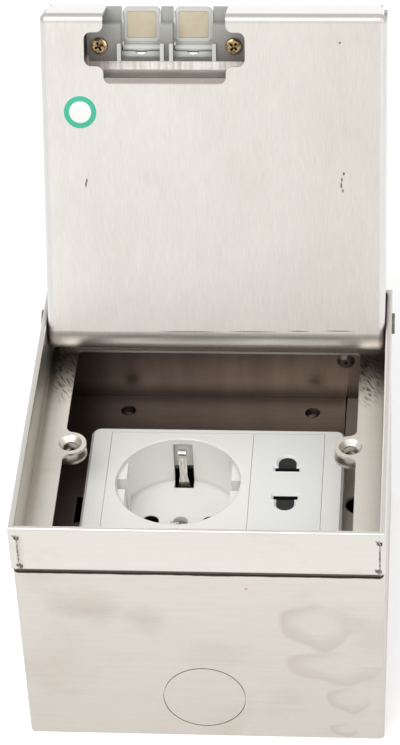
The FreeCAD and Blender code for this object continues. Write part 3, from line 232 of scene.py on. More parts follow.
# Painted shade inside the band: dark brown, darker at the left, with streaks and a band of painted shade
# just above the cradle.
streak = grain(box_steel, (0.007, 0.007, 0.05), detail=3.0)
cradle_shade = between(box_steel, height, CRADLE_TOP - 1.4 * MM, CRADLE_TOP - 0.2 * MM,
                       CRADLE_TOP + 1.4 * MM, CRADLE_TOP + 6.1 * MM)
inside = mixed(box_steel, ramp(box_steel, along(box_steel, 0), -0.048, 0.045), INSIDE_SHADE_LEFT, INSIDE_SHADE_RIGHT)
inside = mixed(box_steel, ramp(box_steel, streak, 0.35, 0.7, 0.0, 0.4), inside, INSIDE_STREAK)
inside = mixed(box_steel, faded(box_steel, cradle_shade, 0.75), inside, INSIDE_SHADE)

base, lines = brushed(box_steel, mixed(box_steel, within, outside, inside), LEVEL, 0.012, contrast=0.05)
rough = reckon(box_steel, "SUBTRACT", ramp(box_steel, patch, 0.3, 0.7, 0.34, 0.44),
               faded(box_steel, within, 0.06))
surface(box_steel, base, rough, lines, bump=0.2, Metallic=1.0)
finish(box_steel, "back_box")

# ---- Bottom pan, cradle and lugs -----------------------------------------------------------
# Plainer stamped sheet inside the box: the pan, the plate that the sockets stand on and the
# two tapped lugs. All are riveted to the band.

PLATE_SHADE_LEFT = (0.20, 0.165, 0.150, 1)
PLATE_SHADE_RIGHT = (0.30, 0.250, 0.215, 1)
LUG_STEEL = (0.50, 0.47, 0.43, 1)

plate_steel = new_material("plate_steel")
# Painted shade: the pan and the cradle plate are dark brown, darker at the left.
base = mixed(plate_steel, ramp(plate_steel, along(plate_steel, 0), -0.05, 0.04), PLATE_SHADE_LEFT, PLATE_SHADE_RIGHT)
base, lines = brushed(plate_steel, base, LEVEL, 0.012, contrast=0.12)
surface(plate_steel, base, 0.36, lines, Metallic=1.0)
finish(plate_steel, "box_pan", "cradle_plate")

lug_steel = new_material("lug_steel")
base, lines = brushed(lug_steel, LUG_STEEL, LEVEL, 0.004, contrast=0.12)
surface(lug_steel, base, 0.34, lines, Metallic=1.0)
finish(lug_steel, "lug_bracket_left", "lug_bracket_right")

# ---- Rivets and pins -----------------------------------------------------------------------
# Dull steel rivets and pins. The rivets are closed flush outside and domed inside, and the two
# in the seam keep the dimple of the riveting tool, shown only as a dark spot of painted shade.

DULL_STEEL = ((0.13, 0.12, 0.105, 1), (0.22, 0.205, 0.18, 1))
DIMPLE_SHADE = (0.02, 0.017, 0.015, 1)
SEAM_RIVET_X, SEAM_RIVET_HEIGHTS, SEAM_DOME_Y = 0.0400, (0.0572, 0.0240), 0.054
DIMPLE_REACH = (0.8 * MM, 4.0 * MM, 0.8 * MM)

rivet_steel = new_material("rivet_steel")
pits = grain(rivet_steel, (0.0006, 0.0006, 0.0006))
dull = mixed(rivet_steel, pits, *DULL_STEEL)
# Painted shade in the dimple of each seam rivet.
dimple_shade = most(rivet_steel, *[spot(rivet_steel, (SEAM_RIVET_X, SEAM_DOME_Y, at), DIMPLE_REACH, edge=0.6)
                             for at in SEAM_RIVET_HEIGHTS])
surface(rivet_steel, mixed(rivet_steel, dimple_shade, dull, DIMPLE_SHADE), 0.42, pits, Metallic=1.0)
finish(rivet_steel, "pan_rivets", "seam_rivets", "lug_rivets", "cradle_rivets", "hinge_pin_left",
       "hinge_pin_right", "flap_rod")

# ---- Earth terminal ------------------------------------------------------------------------
# A brass stud pressed into the pan, with its washer and nut. The sockets' contacts are of the
# same brass.

BRIGHT_BRASS, TARNISHED_BRASS = (0.60, 0.42, 0.20, 1), (0.30, 0.19, 0.09, 1)

brass = new_material("brass")
tarnish = grain(brass, (0.0012, 0.0012, 0.0012))
base = mixed(brass, ramp(brass, tarnish, 0.4, 0.65), BRIGHT_BRASS, TARNISHED_BRASS)
surface(brass, base, 0.28, tarnish, Metallic=1.0)
finish(brass, "earth_stud", "earth_washer", "earth_nut", "pin_contacts", "twin_contacts")

# ---- Frame ---------------------------------------------------------------------------------
# Square surround of one bright stainless sheet: skirt, hemmed rim, inner wall, ledge and ears.
# The rim is painted a little darker, as painted shade that damps its highlight. The left inner wall
# is painted darker towards the rear, as a painted reflection of the dark inside of the box, and the
# ledge's rear corners are scribbled over.

FRAME_LOW, FRAME_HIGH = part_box("frame_surround")
RIM = FRAME_HIGH.z
LEDGE = RIM - 16.8 * MM
FRAME_STEEL = (0.670, 0.643, 0.597, 1)
RIM_SHADE = (0.64, 0.62, 0.585, 1)
WELL_SHADE = (0.16, 0.125, 0.105, 1)
DARK_REFLECTION_FRONT, DARK_REFLECTION_REAR = (0.58, 0.53, 0.465, 1), (0.20, 0.17, 0.142, 1)
SCRIBBLE_INK = (0.10, 0.085, 0.08, 1)
SLIT_SHADE = (0.04, 0.035, 0.03, 1)
SCRIBBLED = ((-0.0482, 0.0330), (0.0482, 0.0325))      # middle of each scribbled corner
SCRIBBLED_REACH = (5.5 * MM, 16.0 * MM, 2.0 * MM)
SLITS = (("left", -0.0526, -1), ("right", 0.0535, 1))   # the skirt's corner slits and their side


def shaded_corners(material, colour, shade_colour, distance, low, high, strength):
    """Painted shade where faces meet within this distance."""
    openness = wire(material, "AmbientOcclusion", {"Distance": distance}, samples=8).node.outputs["AO"]
    return mixed(material, ramp(material, openness, low, high, strength, 0.0), colour, shade_colour)


def scribbles(material):
    """Short slanting pen strokes on the ledge's rear corners."""
    at = wire(material, "Mapping", {"Vector": place(material), "Rotation": (0, 0, radians(35)),
                                    "Scale": (0.6 * MM, 3.5 * MM, 10.0 * MM)}, vector_type="TEXTURE")
    strokes = wire(material, "TexNoise", {"Vector": at, "Scale": 1.0, "Detail": 3.0})
    corners = most(material, *[spot(material, (x, y, LEDGE), SCRIBBLED_REACH, edge=0.5)
                               for x, y in SCRIBBLED])
    inked = reckon(material, "MULTIPLY", ramp(material, strokes, 0.50, 0.60), corners)
    return faded(material, inked, 0.8)


def slit_shade(material):
    """Painted shade in the slit at each front corner of the skirt, with a torn blot at both ends."""
    front = FRAME_LOW.y
    dark_patches = []
    for side, x, way in SLITS:
        line_at, line_reach = (x, front, RIM - 9.8 * MM), (0.3 * MM, 2.0 * MM, 7.0 * MM)
        foot_at, foot_reach = (x - way * 0.3 * MM, front, RIM - 15.2 * MM), (1.1 * MM, 2.0 * MM, 1.5 * MM)
        head_at, head_reach = (x, front, RIM - 4.1 * MM), (1.0 * MM, 2.0 * MM, 1.9 * MM)
        dark_patches.append(spot(material, line_at, line_reach, edge=0.75))
        dark_patches.append(spot(material, foot_at, foot_reach, edge=0.6, wander=0.5))
        dark_patches.append(faded(material, spot(material, head_at, head_reach, edge=0.3, wander=0.9), 0.8))
    return faded(material, most(material, *dark_patches), 0.85)


frame_steel = new_material("frame_steel")
height = along(frame_steel, 2)
# Painted shade on the rim, a little darker than the sheet, damping its highlight.
rim = ramp(frame_steel, height, RIM - 0.9 * MM, RIM - 0.5 * MM)
base = mixed(frame_steel, rim, FRAME_STEEL, RIM_SHADE)
smear = grain(frame_steel, (0.022, 0.022, 0.014), detail=3.0)
base = mixed(frame_steel, ramp(frame_steel, smear, 0.54, 0.76, 0.0, 0.30), base, SMUDGE)
# Painted shade where faces meet within 10 mm: corners, inner walls and ledge.
base = shaded_corners(frame_steel, base, WELL_SHADE, 10.0 * MM, 0.35, 0.85, 0.55)
# Painted reflection on the left inner wall: darker towards the rear, as it mirrors the dark box.
left_side = between(frame_steel, along(frame_steel, 0), FRAME_LOW.x + 1.9 * MM, FRAME_LOW.x + 2.2 * MM,
                    FRAME_LOW.x + 3.0 * MM, FRAME_LOW.x + 4.5 * MM)
below_rim = ramp(frame_steel, height, RIM - 2.0 * MM, RIM - 3.5 * MM)
left_wall = reckon(frame_steel, "MULTIPLY", below_rim, left_side)
rearward = ramp(frame_steel, along(frame_steel, 1), -0.05, 0.045)
base = mixed(frame_steel, left_wall, base, mixed(frame_steel, rearward, DARK_REFLECTION_FRONT, DARK_REFLECTION_REAR))
base = mixed(frame_steel, scribbles(frame_steel), base, SCRIBBLE_INK)
# Painted shade in the slits at the skirt's front corners.
base = mixed(frame_steel, slit_shade(frame_steel), base, SLIT_SHADE)
base, lines = brushed(frame_steel, base, LEVEL, 0.012, contrast=0.04)
rough = ramp(frame_steel, smear, 0.3, 0.7, 0.30, 0.38)
surface(frame_steel, base, rough, lines, bump=0.2, Metallic=1.0)
finish(frame_steel, "frame_surround")

# ---- Burrs ---------------------------------------------------------------------------------
# Ragged steel left in the two slits at the skirt's front corners, where its panels meet.

SLIT_LOW, SLIT_HIGH = RIM - 15.8 * MM, RIM - 3.4 * MM
BURR_SHEET, BURR_HALF_WIDE, BURR_WANDER = 0.1 * MM, 0.28 * MM, 0.28 * MM
BURR_DARK, BURR_BRIGHT = (0.05, 0.04, 0.035, 1), (0.55, 0.52, 0.48, 1)

burr_steel = new_material("burr_steel")
fleck = grain(burr_steel, (0.0003, 0.0003, 0.0008))
base = mixed(burr_steel, ramp(burr_steel, fleck, 0.4, 0.6), BURR_DARK, BURR_BRIGHT)
surface(burr_steel, base, 0.35, fleck, Metallic=1.0)


def piece(name, mesh, material, body, slot, *stands_for):
    """A finished piece of the scene that rides on a body."""
    made = bpy.data.objects.new(name, mesh)
    bpy.context.scene.collection.objects.link(made)
    mesh.materials.clear()
    mesh.materials.append(material)
    if stands_for:
        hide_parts(*stands_for)
    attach(made, body)
    return made


def closed(name, made):
    """The finished mesh of a closed form, with all its faces turned outward."""
    bmesh.ops.recalc_face_normals(made, faces=made.faces)
    mesh = bpy.data.meshes.new(name)
    made.to_mesh(mesh)
    made.free()
    return mesh


def strip(name, lines, thickness):
    """A thin closed strip over rows of points, one row per step along it."""
    made = bmesh.new()
    rows = [[made.verts.new(point) for point in line] for line in lines]
    backs = [[made.verts.new(Vector(point) + thickness) for point in line] for line in lines]
    steps, count = len(rows), len(rows[0])
    for i in range(steps - 1):
        for j in range(count - 1):
            made.faces.new((rows[i][j], rows[i][j + 1], rows[i + 1][j + 1], rows[i + 1][j]))
            made.faces.new((backs[i][j], backs[i + 1][j], backs[i + 1][j + 1], backs[i][j + 1]))
    edge = [(0, j) for j in range(count)] + [(i, count - 1) for i in range(1, steps)]
    edge += [(steps - 1, j) for j in range(count - 2, -1, -1)] + [(i, 0) for i in range(steps - 2, 0, -1)]
    for (i, j), (k, l) in zip(edge, edge[1:] + edge[:1]):
        made.faces.new((rows[i][j], backs[i][j], backs[k][l], rows[k][l]))
    return closed(name, made)


for side, x, way in SLITS:
    rows = []
    for step in range(19):
        z = SLIT_LOW + (SLIT_HIGH - SLIT_LOW) * step / 18
        middle = x + noise.noise(Vector((way * 3.1, 0, z * 900))) * BURR_WANDER
        wide = BURR_HALF_WIDE + abs(noise.noise(Vector((way * 7.7, 0, z * 1500)))) * 0.5 * MM
        rows.append([(middle + wide * (j / 2 - 1), FRAME_LOW.y + 0.02 * MM + BURR_SHEET * (j != 1), z)
                     for j in range(5)])
    name = "slit_burr_" + side
    piece(name, strip(name, rows, Vector((0, BURR_SHEET, 0))), burr_steel, "box", "frame_steel")

# ---- Conduit stay --------------------------------------------------------------------------
# Zinc-plated angle at the right of the cradle: a level strip with a conduit hole, and a flange
# down the box's wall, where it is fixed.

STAY_LOW, STAY_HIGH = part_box("conduit_stay")
STAY_SHEET = 1.2 * MM
STAY_HOLE_AT = Vector((STAY_HIGH.x - 7.95 * MM, 4.2 * MM))
STAY_HOLE = 4.2 * MM             # radius
ZINC = (0.70, 0.65, 0.59, 1)


def plate_with_hole(low, high, middle, radius, top, sheet):
    """A level rectangular plate with a round hole: a ring of sectors, with one ray to each corner."""
    corners = [Vector((x, y)) for x in (low.x, high.x) for y in (low.y, high.y)]
    turns = {2 * pi * i / 64 for i in range(64)}
    turns |= {(Vector((1, 0)).angle_signed(middle - corner) + pi) % (2 * pi) for corner in corners}
    made = bmesh.new()
    rings = []
    for turn in sorted(turns):
        way = Vector((cos(turn), sin(turn)))
        to_edges = [((high if step > 0 else low)[k] - middle[k]) / step
                    for k, step in enumerate(way) if abs(step) > 1e-9]
        inner, outer = middle + way * radius, middle + way * min(to_edges)
        section = ((inner, top), (outer, top), (outer, top - sheet), (inner, top - sheet))
        rings.append([made.verts.new((at.x, at.y, z)) for at, z in section])
    for first, second in zip(rings, rings[1:] + rings[:1]):
        for k in range(4):
            made.faces.new((first[k], first[(k + 1) % 4], second[(k + 1) % 4], second[k]))
    return closed("plate", made)


def joined(name, meshes):
    """Several meshes in one, with flat faces."""
    made = bmesh.new()
    for mesh in meshes:
        made.from_mesh(mesh)
    mesh = closed(name, made)
    mesh.shade_flat()
    return mesh


stay_zinc = new_material("stay_zinc")
# Painted shadow of the ear: towards the rear the zinc gives way to the pan's dark brown.
base = mixed(stay_zinc, ramp(stay_zinc, along(stay_zinc, 1), 0.022, 0.034), ZINC, PLATE_SHADE_RIGHT)
base, lines = brushed(stay_zinc, base, (0, 0, 0), 0.008, contrast=0.14)
surface(stay_zinc, base, 0.50, lines, Metallic=0.35)
stay_top = plate_with_hole(STAY_LOW, STAY_HIGH, STAY_HOLE_AT, STAY_HOLE, STAY_HIGH.z, STAY_SHEET)
flange_rows = [[(STAY_HIGH.x - STAY_SHEET, STAY_LOW.y + (STAY_HIGH.y - STAY_LOW.y) * i / 24, z)
                for z in (STAY_LOW.z, STAY_HIGH.z - STAY_SHEET)] for i in range(25)]
stay_flange = strip("stay_flange", flange_rows, Vector((STAY_SHEET, 0, 0)))
piece("stay_plate", joined("stay_plate", [stay_top, stay_flange]), stay_zinc, "box", "box_steel",
      "conduit_stay")

# ---- Lid tray ------------------------------------------------------------------------------
# Deep tray folded from one sheet, brushed from front to rear. It stands open on its two pins.
# Its underside has a few dents and hair scratches. Its front wall is painted lighter, as a painted
# reflection, and its front bend darker, as painted shade. Its side rims are darker, and the open
# corners at its front and the corners where faces meet carry painted shade.

PIN_LOW, PIN_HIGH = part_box("hinge_pin_left")
HINGE = Vector((0, (PIN_LOW.y + PIN_HIGH.y) / 2, (PIN_LOW.z + PIN_HIGH.z) / 2))
SWING = radians(113.3)           # open by this much
LID_TURN = (pi - SWING, 0, 0)    # turns a sheet's own axes on to the open lid
LID_FRONT = -0.05424             # of the shut lid, as all places that on_lid takes
LID_UNDER = 0.0699
LID_LEFT, LID_RIGHT = (0.805, 0.780, 0.728, 1), (0.715, 0.686, 0.634, 1)
LID_CLOUD = (0.60, 0.565, 0.51, 1)
SIDE_WALL, FRONT_WALL_REFLECTION = (0.72, 0.705, 0.68, 1), (0.95, 0.94, 0.92, 1)
FRONT_BEND_SHADE, SIDE_RIM = (0.54, 0.52, 0.485, 1), (0.40, 0.38, 0.35, 1)
MARK_AND_GAP_SHADE = (0.10, 0.085, 0.075, 1)
LID_CORNER_SHADE = (0.20, 0.165, 0.14, 1)
# In millimetres on the shut lid: middle across and rearward, half width and half length.
DENTS = ((-39.7, -1.0, 0.3, 1.2), (-39.4, -2.2, 0.3, 0.9),
         (40.1, -4.9, 0.4, 0.6), (39.5, -3.0, 0.3, 0.9), (39.3, -1.2, 0.3, 1.2), (39.8, 0.5, 0.3, 0.7),
         (38.8, -45.6, 0.4, 0.4))
HAIR_SCRATCHES = ((-8.0, 46.2, 12.0, 0.22), (12.0, 46.0, 9.0, 0.22), (26.2, 45.7, 4.0, 0.22),
                  (38.5, 45.5, 5.5, 0.22))
CORNER_GAP_X, CORNER_GAP_Z = 52.6 * MM, 77.5 * MM
CORNER_GAP_REACH = (1.0 * MM, 1.6 * MM, 6.2 * MM)


def on_lid(x, y, z=LID_UNDER):
    """The place, with the lid open, of a point given for the shut lid."""
    return Matrix.Rotation(-SWING, 3, "X") @ (Vector((x, y, z)) - HINGE) + HINGE


def in_lid(material, x, y, z):
    """Place from a point of the shut lid: across, towards its front, and out of its underside."""
    at = wire(material, "Mapping", {"Vector": place(material), "Location": on_lid(x, y, z),
                                    "Rotation": LID_TURN}, vector_type="TEXTURE")
    return list(wire(material, "SeparateXYZ", {0: at}).node.outputs)


def lid_mark(material, x, y, half_wide, half_long):
    """A short mark on the lid's underside, from millimetres on the shut lid."""
    return spot(material, on_lid(x * MM, y * MM), (half_wide * MM, half_long * MM, 1.0 * MM), LID_TURN, 0.5)


lid_steel = new_material("lid_steel")
base = mixed(lid_steel, ramp(lid_steel, along(lid_steel, 0), -0.045, 0.05), LID_LEFT, LID_RIGHT)
cloud = grain(lid_steel, (0.028, 0.05, 0.028), LID_TURN, 3.0)
base = mixed(lid_steel, ramp(lid_steel, cloud, 0.42, 0.72, 0.0, 0.30), base, LID_CLOUD)
side_walls = ramp(lid_steel, reckon(lid_steel, "ABSOLUTE", along(lid_steel, 0)), 50.7 * MM, 51.4 * MM)
forward, out_of = in_lid(lid_steel, 0, LID_FRONT, LID_UNDER)[1:]
front_wall_reflection = reckon(lid_steel, "MULTIPLY", ramp(lid_steel, forward, -1.2 * MM, -0.4 * MM),
                    ramp(lid_steel, out_of, -2.6 * MM, -1.4 * MM, 1, 0))
side_rim = reckon(lid_steel, "MULTIPLY", side_walls,
                  ramp(lid_steel, out_of, -14.2 * MM, -13.2 * MM, 1, 0))
base = mixed(lid_steel, side_walls, base, SIDE_WALL)
# Painted shade on the front bend, and a painted reflection on the front wall.
base = mixed(lid_steel, ramp(lid_steel, forward, -3.0 * MM, -1.8 * MM), base, FRONT_BEND_SHADE)
base = mixed(lid_steel, front_wall_reflection, base, FRONT_WALL_REFLECTION)
base = mixed(lid_steel, side_rim, base, SIDE_RIM)
dark_patches = [lid_mark(lid_steel, *dent) for dent in DENTS]
dark_patches += [faded(lid_steel, lid_mark(lid_steel, *scratch), 0.75) for scratch in HAIR_SCRATCHES]
# Painted shade in the open corner gaps at the lid's front, mixed in with the real dents and scratches.
dark_patches += [faded(lid_steel, spot(lid_steel, on_lid(way * CORNER_GAP_X, LID_FRONT + 0.8 * MM, CORNER_GAP_Z),
                                CORNER_GAP_REACH, LID_TURN, 0.6), 0.75) for way in (-1, 1)]
base = mixed(lid_steel, most(lid_steel, *dark_patches), base, MARK_AND_GAP_SHADE)
# Painted shade where faces meet.
base = shaded_corners(lid_steel, base, LID_CORNER_SHADE, 6.0 * MM, 0.3, 0.8, 0.25)
base, lines = brushed(lid_steel, base, LID_TURN, 0.0048, 0.00024, 0.085, 0.25)
surface(lid_steel, base, 0.34, lines, bump=0.18, Metallic=1.0)
finish(lid_steel, "lid_tray")

# ---- Outlet hood ---------------------------------------------------------------------------
# A low steel hood welded into the tray over the cable outlet. Its roof is streaked, and its
# rear wall and flange are painted darker, as painted shade.

HOOD_REAR, HOOD_ROOF = LID_FRONT + 19.9 * MM, 0.0846
ROOF_LIGHT, ROOF_DARK = (0.98, 0.96, 0.94, 1), (0.70, 0.66, 0.62, 1)
HOOD_WALL_SHADE, HOOD_FLANGE_SHADE = (0.52, 0.475, 0.435, 1), (0.37, 0.34, 0.312, 1)

hood_steel = new_material("hood_steel")
out_of = in_lid(hood_steel, 0, HOOD_REAR, HOOD_ROOF)[2]
streak = grain(hood_steel, (0.0012, 0.02, 0.02))
base = mixed(hood_steel, ramp(hood_steel, streak, 0.35, 0.65), ROOF_LIGHT, ROOF_DARK)
# Painted shade on the hood's rear wall and, darker still, on its flange.
base = mixed(hood_steel, ramp(hood_steel, out_of, 0.3 * MM, 0.6 * MM), base, HOOD_WALL_SHADE)
base = mixed(hood_steel, ramp(hood_steel, out_of, 12.0 * MM, 12.5 * MM), base, HOOD_FLANGE_SHADE)
base, lines = brushed(hood_steel, base, LEVEL, 0.006, contrast=0.10)
surface(hood_steel, base, 0.42, lines, Metallic=1.0)
finish(hood_steel, "outlet_hood")

# ---- Round label ---------------------------------------------------------------------------
# A small paper label stuck on the lid's underside: white, with a printed green ring. It is
# left blank.

LABEL_AT = (-0.0410, -0.0238)
LABEL_RADIUS, RING_INNER, LABEL_THICK = 5.15 * MM, 3.4 * MM, 0.06 * MM
RING_GREEN = ((0.040, 0.43, 0.27, 1), (0.055, 0.48, 0.31, 1))
PAPER_WHITE = ((0.80, 0.80, 0.78, 1), (0.86, 0.86, 0.845, 1))


def turned(name, profile, at=Matrix(), segments=64):
    """A closed turned mesh from (radius, height) pairs, moved by a matrix."""
    made = bmesh.new()
    rings = []
    for radius, level in profile:
        if radius == 0:
            rings.append([made.verts.new(at @ Vector((0, 0, level)))])
        else:
            rings.append([made.verts.new(at @ Vector((radius * cos(2 * pi * i / segments),
                                                      radius * sin(2 * pi * i / segments), level)))
                          for i in range(segments)])
    for low, high in zip(rings, rings[1:]):
        for i in range(segments):
            j = (i + 1) % segments
            if len(low) == 1:
                made.faces.new((low[0], high[j], high[i]))
            elif len(high) == 1:
                made.faces.new((low[i], low[j], high[0]))
            else:
                made.faces.new((low[i], low[j], high[j], high[i]))
    mesh = closed(name, made)
    mesh.shade_smooth()
    return mesh


def facing_down(x, y, z):
    """Axes of a piece that faces down from the shut lid: its own Z points out of the face."""
    return (Matrix.Translation(on_lid(x, y, z)) @ Matrix.Rotation(-SWING, 4, "X")
            @ Matrix.Rotation(pi, 4, "X"))


label_paper = new_material("label_paper")
from_middle = spread(label_paper, on_lid(*LABEL_AT), (1, 1, 1))
fibre = grain(label_paper, (0.0003, 0.0003, 0.0003))
ring = between(label_paper, from_middle, RING_INNER - 0.05 * MM, RING_INNER + 0.05 * MM,
               LABEL_RADIUS - 0.15 * MM, LABEL_RADIUS - 0.05 * MM)
base = mixed(label_paper, ring, mixed(label_paper, fibre, *PAPER_WHITE),
             mixed(label_paper, fibre, *RING_GREEN))
surface(label_paper, base, 0.45, fibre, bump=0.1)
label_profile = [(0, 0), (LABEL_RADIUS, 0), (LABEL_RADIUS, LABEL_THICK * 0.6),
                 (LABEL_RADIUS - 0.1 * MM, LABEL_THICK), (0, LABEL_THICK * 1.2)]
piece("lid_label", turned("lid_label", label_profile, facing_down(*LABEL_AT, LID_UNDER)), label_paper,
      "lid", "white_plastic")

# ---- Cable flaps ---------------------------------------------------------------------------
# Grey moulded bracket held by two screws, and two flaps with soft cream pads. The moulding is
# satin, with painted shade in its corners. The bracket's two wings are ribbed; their ribs are
# painted stripes of shade, and the wings are painted darker towards the rear, as painted shade.

WING_FACE = 0.0785               # low face of the bracket's wings, with the lid shut
RIB_PITCH = 0.55 * MM
GREY = ((0.56, 0.57, 0.535, 1), (0.63, 0.64, 0.605, 1))
WING_REAR_SHADE, WING_FRONT = (0.15, 0.14, 0.128, 1), (0.43, 0.43, 0.405, 1)
GREY_CORNER_SHADE = (0.15, 0.14, 0.125, 1)
PAD_CREAM, PAD_CORNER_SHADE = ((0.52, 0.44, 0.31, 1), (0.64, 0.565, 0.43, 1)), (0.33, 0.26, 0.17, 1)


def grey_moulding(name, ribbed_wings):
    """Satin grey plastic; the wings get painted rib stripes and painted shade darker towards the rear."""
    made = new_material(name)
    fine = grain(made, (0.0004, 0.0004, 0.0004))
    tone = mixed(made, fine, *GREY)
    if ribbed_wings:
        across, forward, out_of = in_lid(made, 0, LID_FRONT, WING_FACE)
        # Painted shade of the ribs: fine dark stripes across the wings.
        rib_shade = ramp(made, reckon(made, "SINE", faded(made, across, 2 * pi / RIB_PITCH)), -1, 1, 0.86, 1.0)
        rib_shade = wire(made, "CombineColor", {0: rib_shade, 1: rib_shade, 2: rib_shade})
        # Painted shade: the wings darken towards the rear.
        wings = mixed(made, ramp(made, forward, -15.5 * MM, -5.0 * MM), WING_REAR_SHADE, WING_FRONT)
        wings = mixed(made, 1.0, wings, rib_shade, "MULTIPLY")
        tone = mixed(made, ramp(made, out_of, 0.15 * MM, 0.3 * MM), wings, tone)
    # Painted shade where faces meet.
    tone = shaded_corners(made, tone, GREY_CORNER_SHADE, 3.0 * MM, 0.25, 0.75, 0.6)
    return surface(made, tone, 0.38, fine)


finish(grey_moulding("bracket_grey", True), "flap_bracket")
flap_grey = grey_moulding("flap_grey", False)
finish(flap_grey, "flap_left", "flap_right")

pad_cream = new_material("pad_cream")
skin = grain(pad_cream, (0.003, 0.003, 0.003))
# Painted shade where faces meet, as a darker border round each pad.
base = shaded_corners(pad_cream, mixed(pad_cream, skin, *PAD_CREAM), PAD_CORNER_SHADE, 3.0 * MM, 0.4, 0.9, 0.5)
surface(pad_cream, base, 0.6, skin)
finish(pad_cream, "flap_pad_left", "flap_pad_right")

# ---- Bay shelves ---------------------------------------------------------------------------
# A thin moulded shelf behind each flap's barrel closes its bay. Its front edge is hollowed in the
# middle, where a small light gap stays open.

BAY_X = {side: sum(corner.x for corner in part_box("flap_" + side)) / 2 for side in ("left", "right")}
BAY_HALF = 5.95 * MM
SHELF_FRONT, SHELF_REAR = 13.6 * MM, 15.2 * MM          # behind the lid's front
SHELF_LEVEL, SHELF_SHEET = 0.0812, 0.4 * MM
HOLLOW, HOLLOW_HALF = 1.0 * MM, 1.9 * MM


def below(level, sheet):
    """A sheet's thickness downward on the shut lid, as a step in the open one."""
    return on_lid(0, 0, level - sheet) - on_lid(0, 0, level)


for side in ("left", "right"):
    rows = []
    for step in range(25):
        x = BAY_HALF * (step / 12 - 1)
        front_edge = SHELF_FRONT + max(0.0, 1 - (x / HOLLOW_HALF) ** 2) * HOLLOW
        rows.append([on_lid(BAY_X[side] + x, LID_FRONT + front_edge * (1 - k / 3) + SHELF_REAR * k / 3,
                            SHELF_LEVEL) for k in range(4)])
    name = "bay_shelf_" + side
    piece(name, strip(name, rows, below(SHELF_LEVEL, SHELF_SHEET)), flap_grey, "lid", "grey_plastic")

# ---- Flap stops ----------------------------------------------------------------------------
# A narrow moulded lip down each side of a bay, on which the shut flap comes to rest. It thins
# out at both ends.

LIP_LEVEL, LIP_SHEET, LIP_REACH, LIP_SINK = 0.08305, 0.6 * MM, 0.75 * MM, 0.2 * MM
LIP_FRONT, LIP_REAR = 1.2 * MM, 11.2 * MM               # behind the lid's front

for side, way in (("left", -1), ("right", 1)):
    for edge, turn in (("outer", way), ("inner", -way)):
        root = BAY_X[side] + turn * (BAY_HALF + LIP_SINK)
        rows = []
        for step in range(13):
            y = LID_FRONT + LIP_FRONT + (LIP_REAR - LIP_FRONT) * step / 12
            reach = LIP_REACH * min(1.0, 0.45 + step * 0.2, 0.45 + (12 - step) * 0.2)
            rows.append([on_lid(root - turn * reach * k / 2, y, LIP_LEVEL) for k in range(3)])
        name = "flap_stop_%s_%s" % (side, edge)
        piece(name, strip(name, rows, below(LIP_LEVEL, LIP_SHEET)), flap_grey, "lid", "grey_plastic")

# ---- Bracket screws ------------------------------------------------------------------------
# Two brass pan-head screws with a cross recess. They clamp the bracket to the hood.

SCREW_REACH = 20.75 * MM         # either side of the bracket's middle
SCREW_Y, SCREW_SEAT = LID_FRONT + 11.4 * MM, LID_UNDER + 8.6 * MM
SCREW_HEAD, SCREW_TALL, SHANK, SHANK_LENGTH = 2.6 * MM, 1.5 * MM, 1.36 * MM, 6.5 * MM
SCREW_SPINS = ((-1, radians(25)), (1, radians(50)))
SCREW_BRIGHT, SCREW_DARK = (0.60, 0.44, 0.24, 1), (0.16, 0.11, 0.06, 1)
SCREW_RECESS_SHADE = (0.03, 0.018, 0.01, 1)


def cross_screw(name, head, tall, shank, length, at, spin):
    """A pan head on its shank, with a tapering cross recess. The seat is at height 0."""
    profile = [(0, -length), (shank * 0.8, -length), (shank, -length + shank * 0.3), (shank, 0), (head, 0),
               (head, tall * 0.35), (head * 0.93, tall * 0.72), (head * 0.72, tall * 0.93), (0, tall)]
    blank = bpy.data.objects.new(name + "_blank", turned(name + "_blank", profile, segments=48))
    recess = bmesh.new()
    wide, reach, floor = head * 0.15, head * 0.62, tall * 0.25
    for turn in (0, pi / 2):
        corners = []
        for z, along_arm, across_arm in ((floor, reach * 0.45, wide * 0.6), (tall * 1.1, reach, wide)):
            corners += [Vector((x * along_arm, y * across_arm, z)) for y in (-1, 1) for x in (-1, 1)]
        corners = [recess.verts.new(Matrix.Rotation(turn + spin, 3, "Z") @ corner) for corner in corners]
        for face in ((0, 2, 3, 1), (4, 5, 7, 6), (0, 1, 5, 4), (2, 6, 7, 3), (0, 4, 6, 2), (1, 3, 7, 5)):
            recess.faces.new([corners[i] for i in face])
    cutter_mesh = bpy.data.meshes.new(name + "_cutter")
    recess.to_mesh(cutter_mesh)
    recess.free()
    cutter = bpy.data.objects.new(name + "_cutter", cutter_mesh)
    for made in (blank, cutter):
        bpy.context.scene.collection.objects.link(made)
    sunk = blank.modifiers.new("recess", "BOOLEAN")
    sunk.operation = "DIFFERENCE"
    sunk.object = cutter
    sunk.solver = "EXACT"
    sunk.use_self = True
    mesh = bpy.data.meshes.new_from_object(blank.evaluated_get(bpy.context.evaluated_depsgraph_get()))
    for made in (blank, cutter):
        bpy.data.objects.remove(made)
    mesh.name = name
    mesh.transform(at)
    mesh.shade_smooth()
    return mesh


screw_brass = new_material("screw_brass")
tarnish = grain(screw_brass, (0.0011, 0.0011, 0.0011))
base = mixed(screw_brass, ramp(screw_brass, tarnish, 0.38, 0.62), SCREW_BRIGHT, SCREW_DARK)
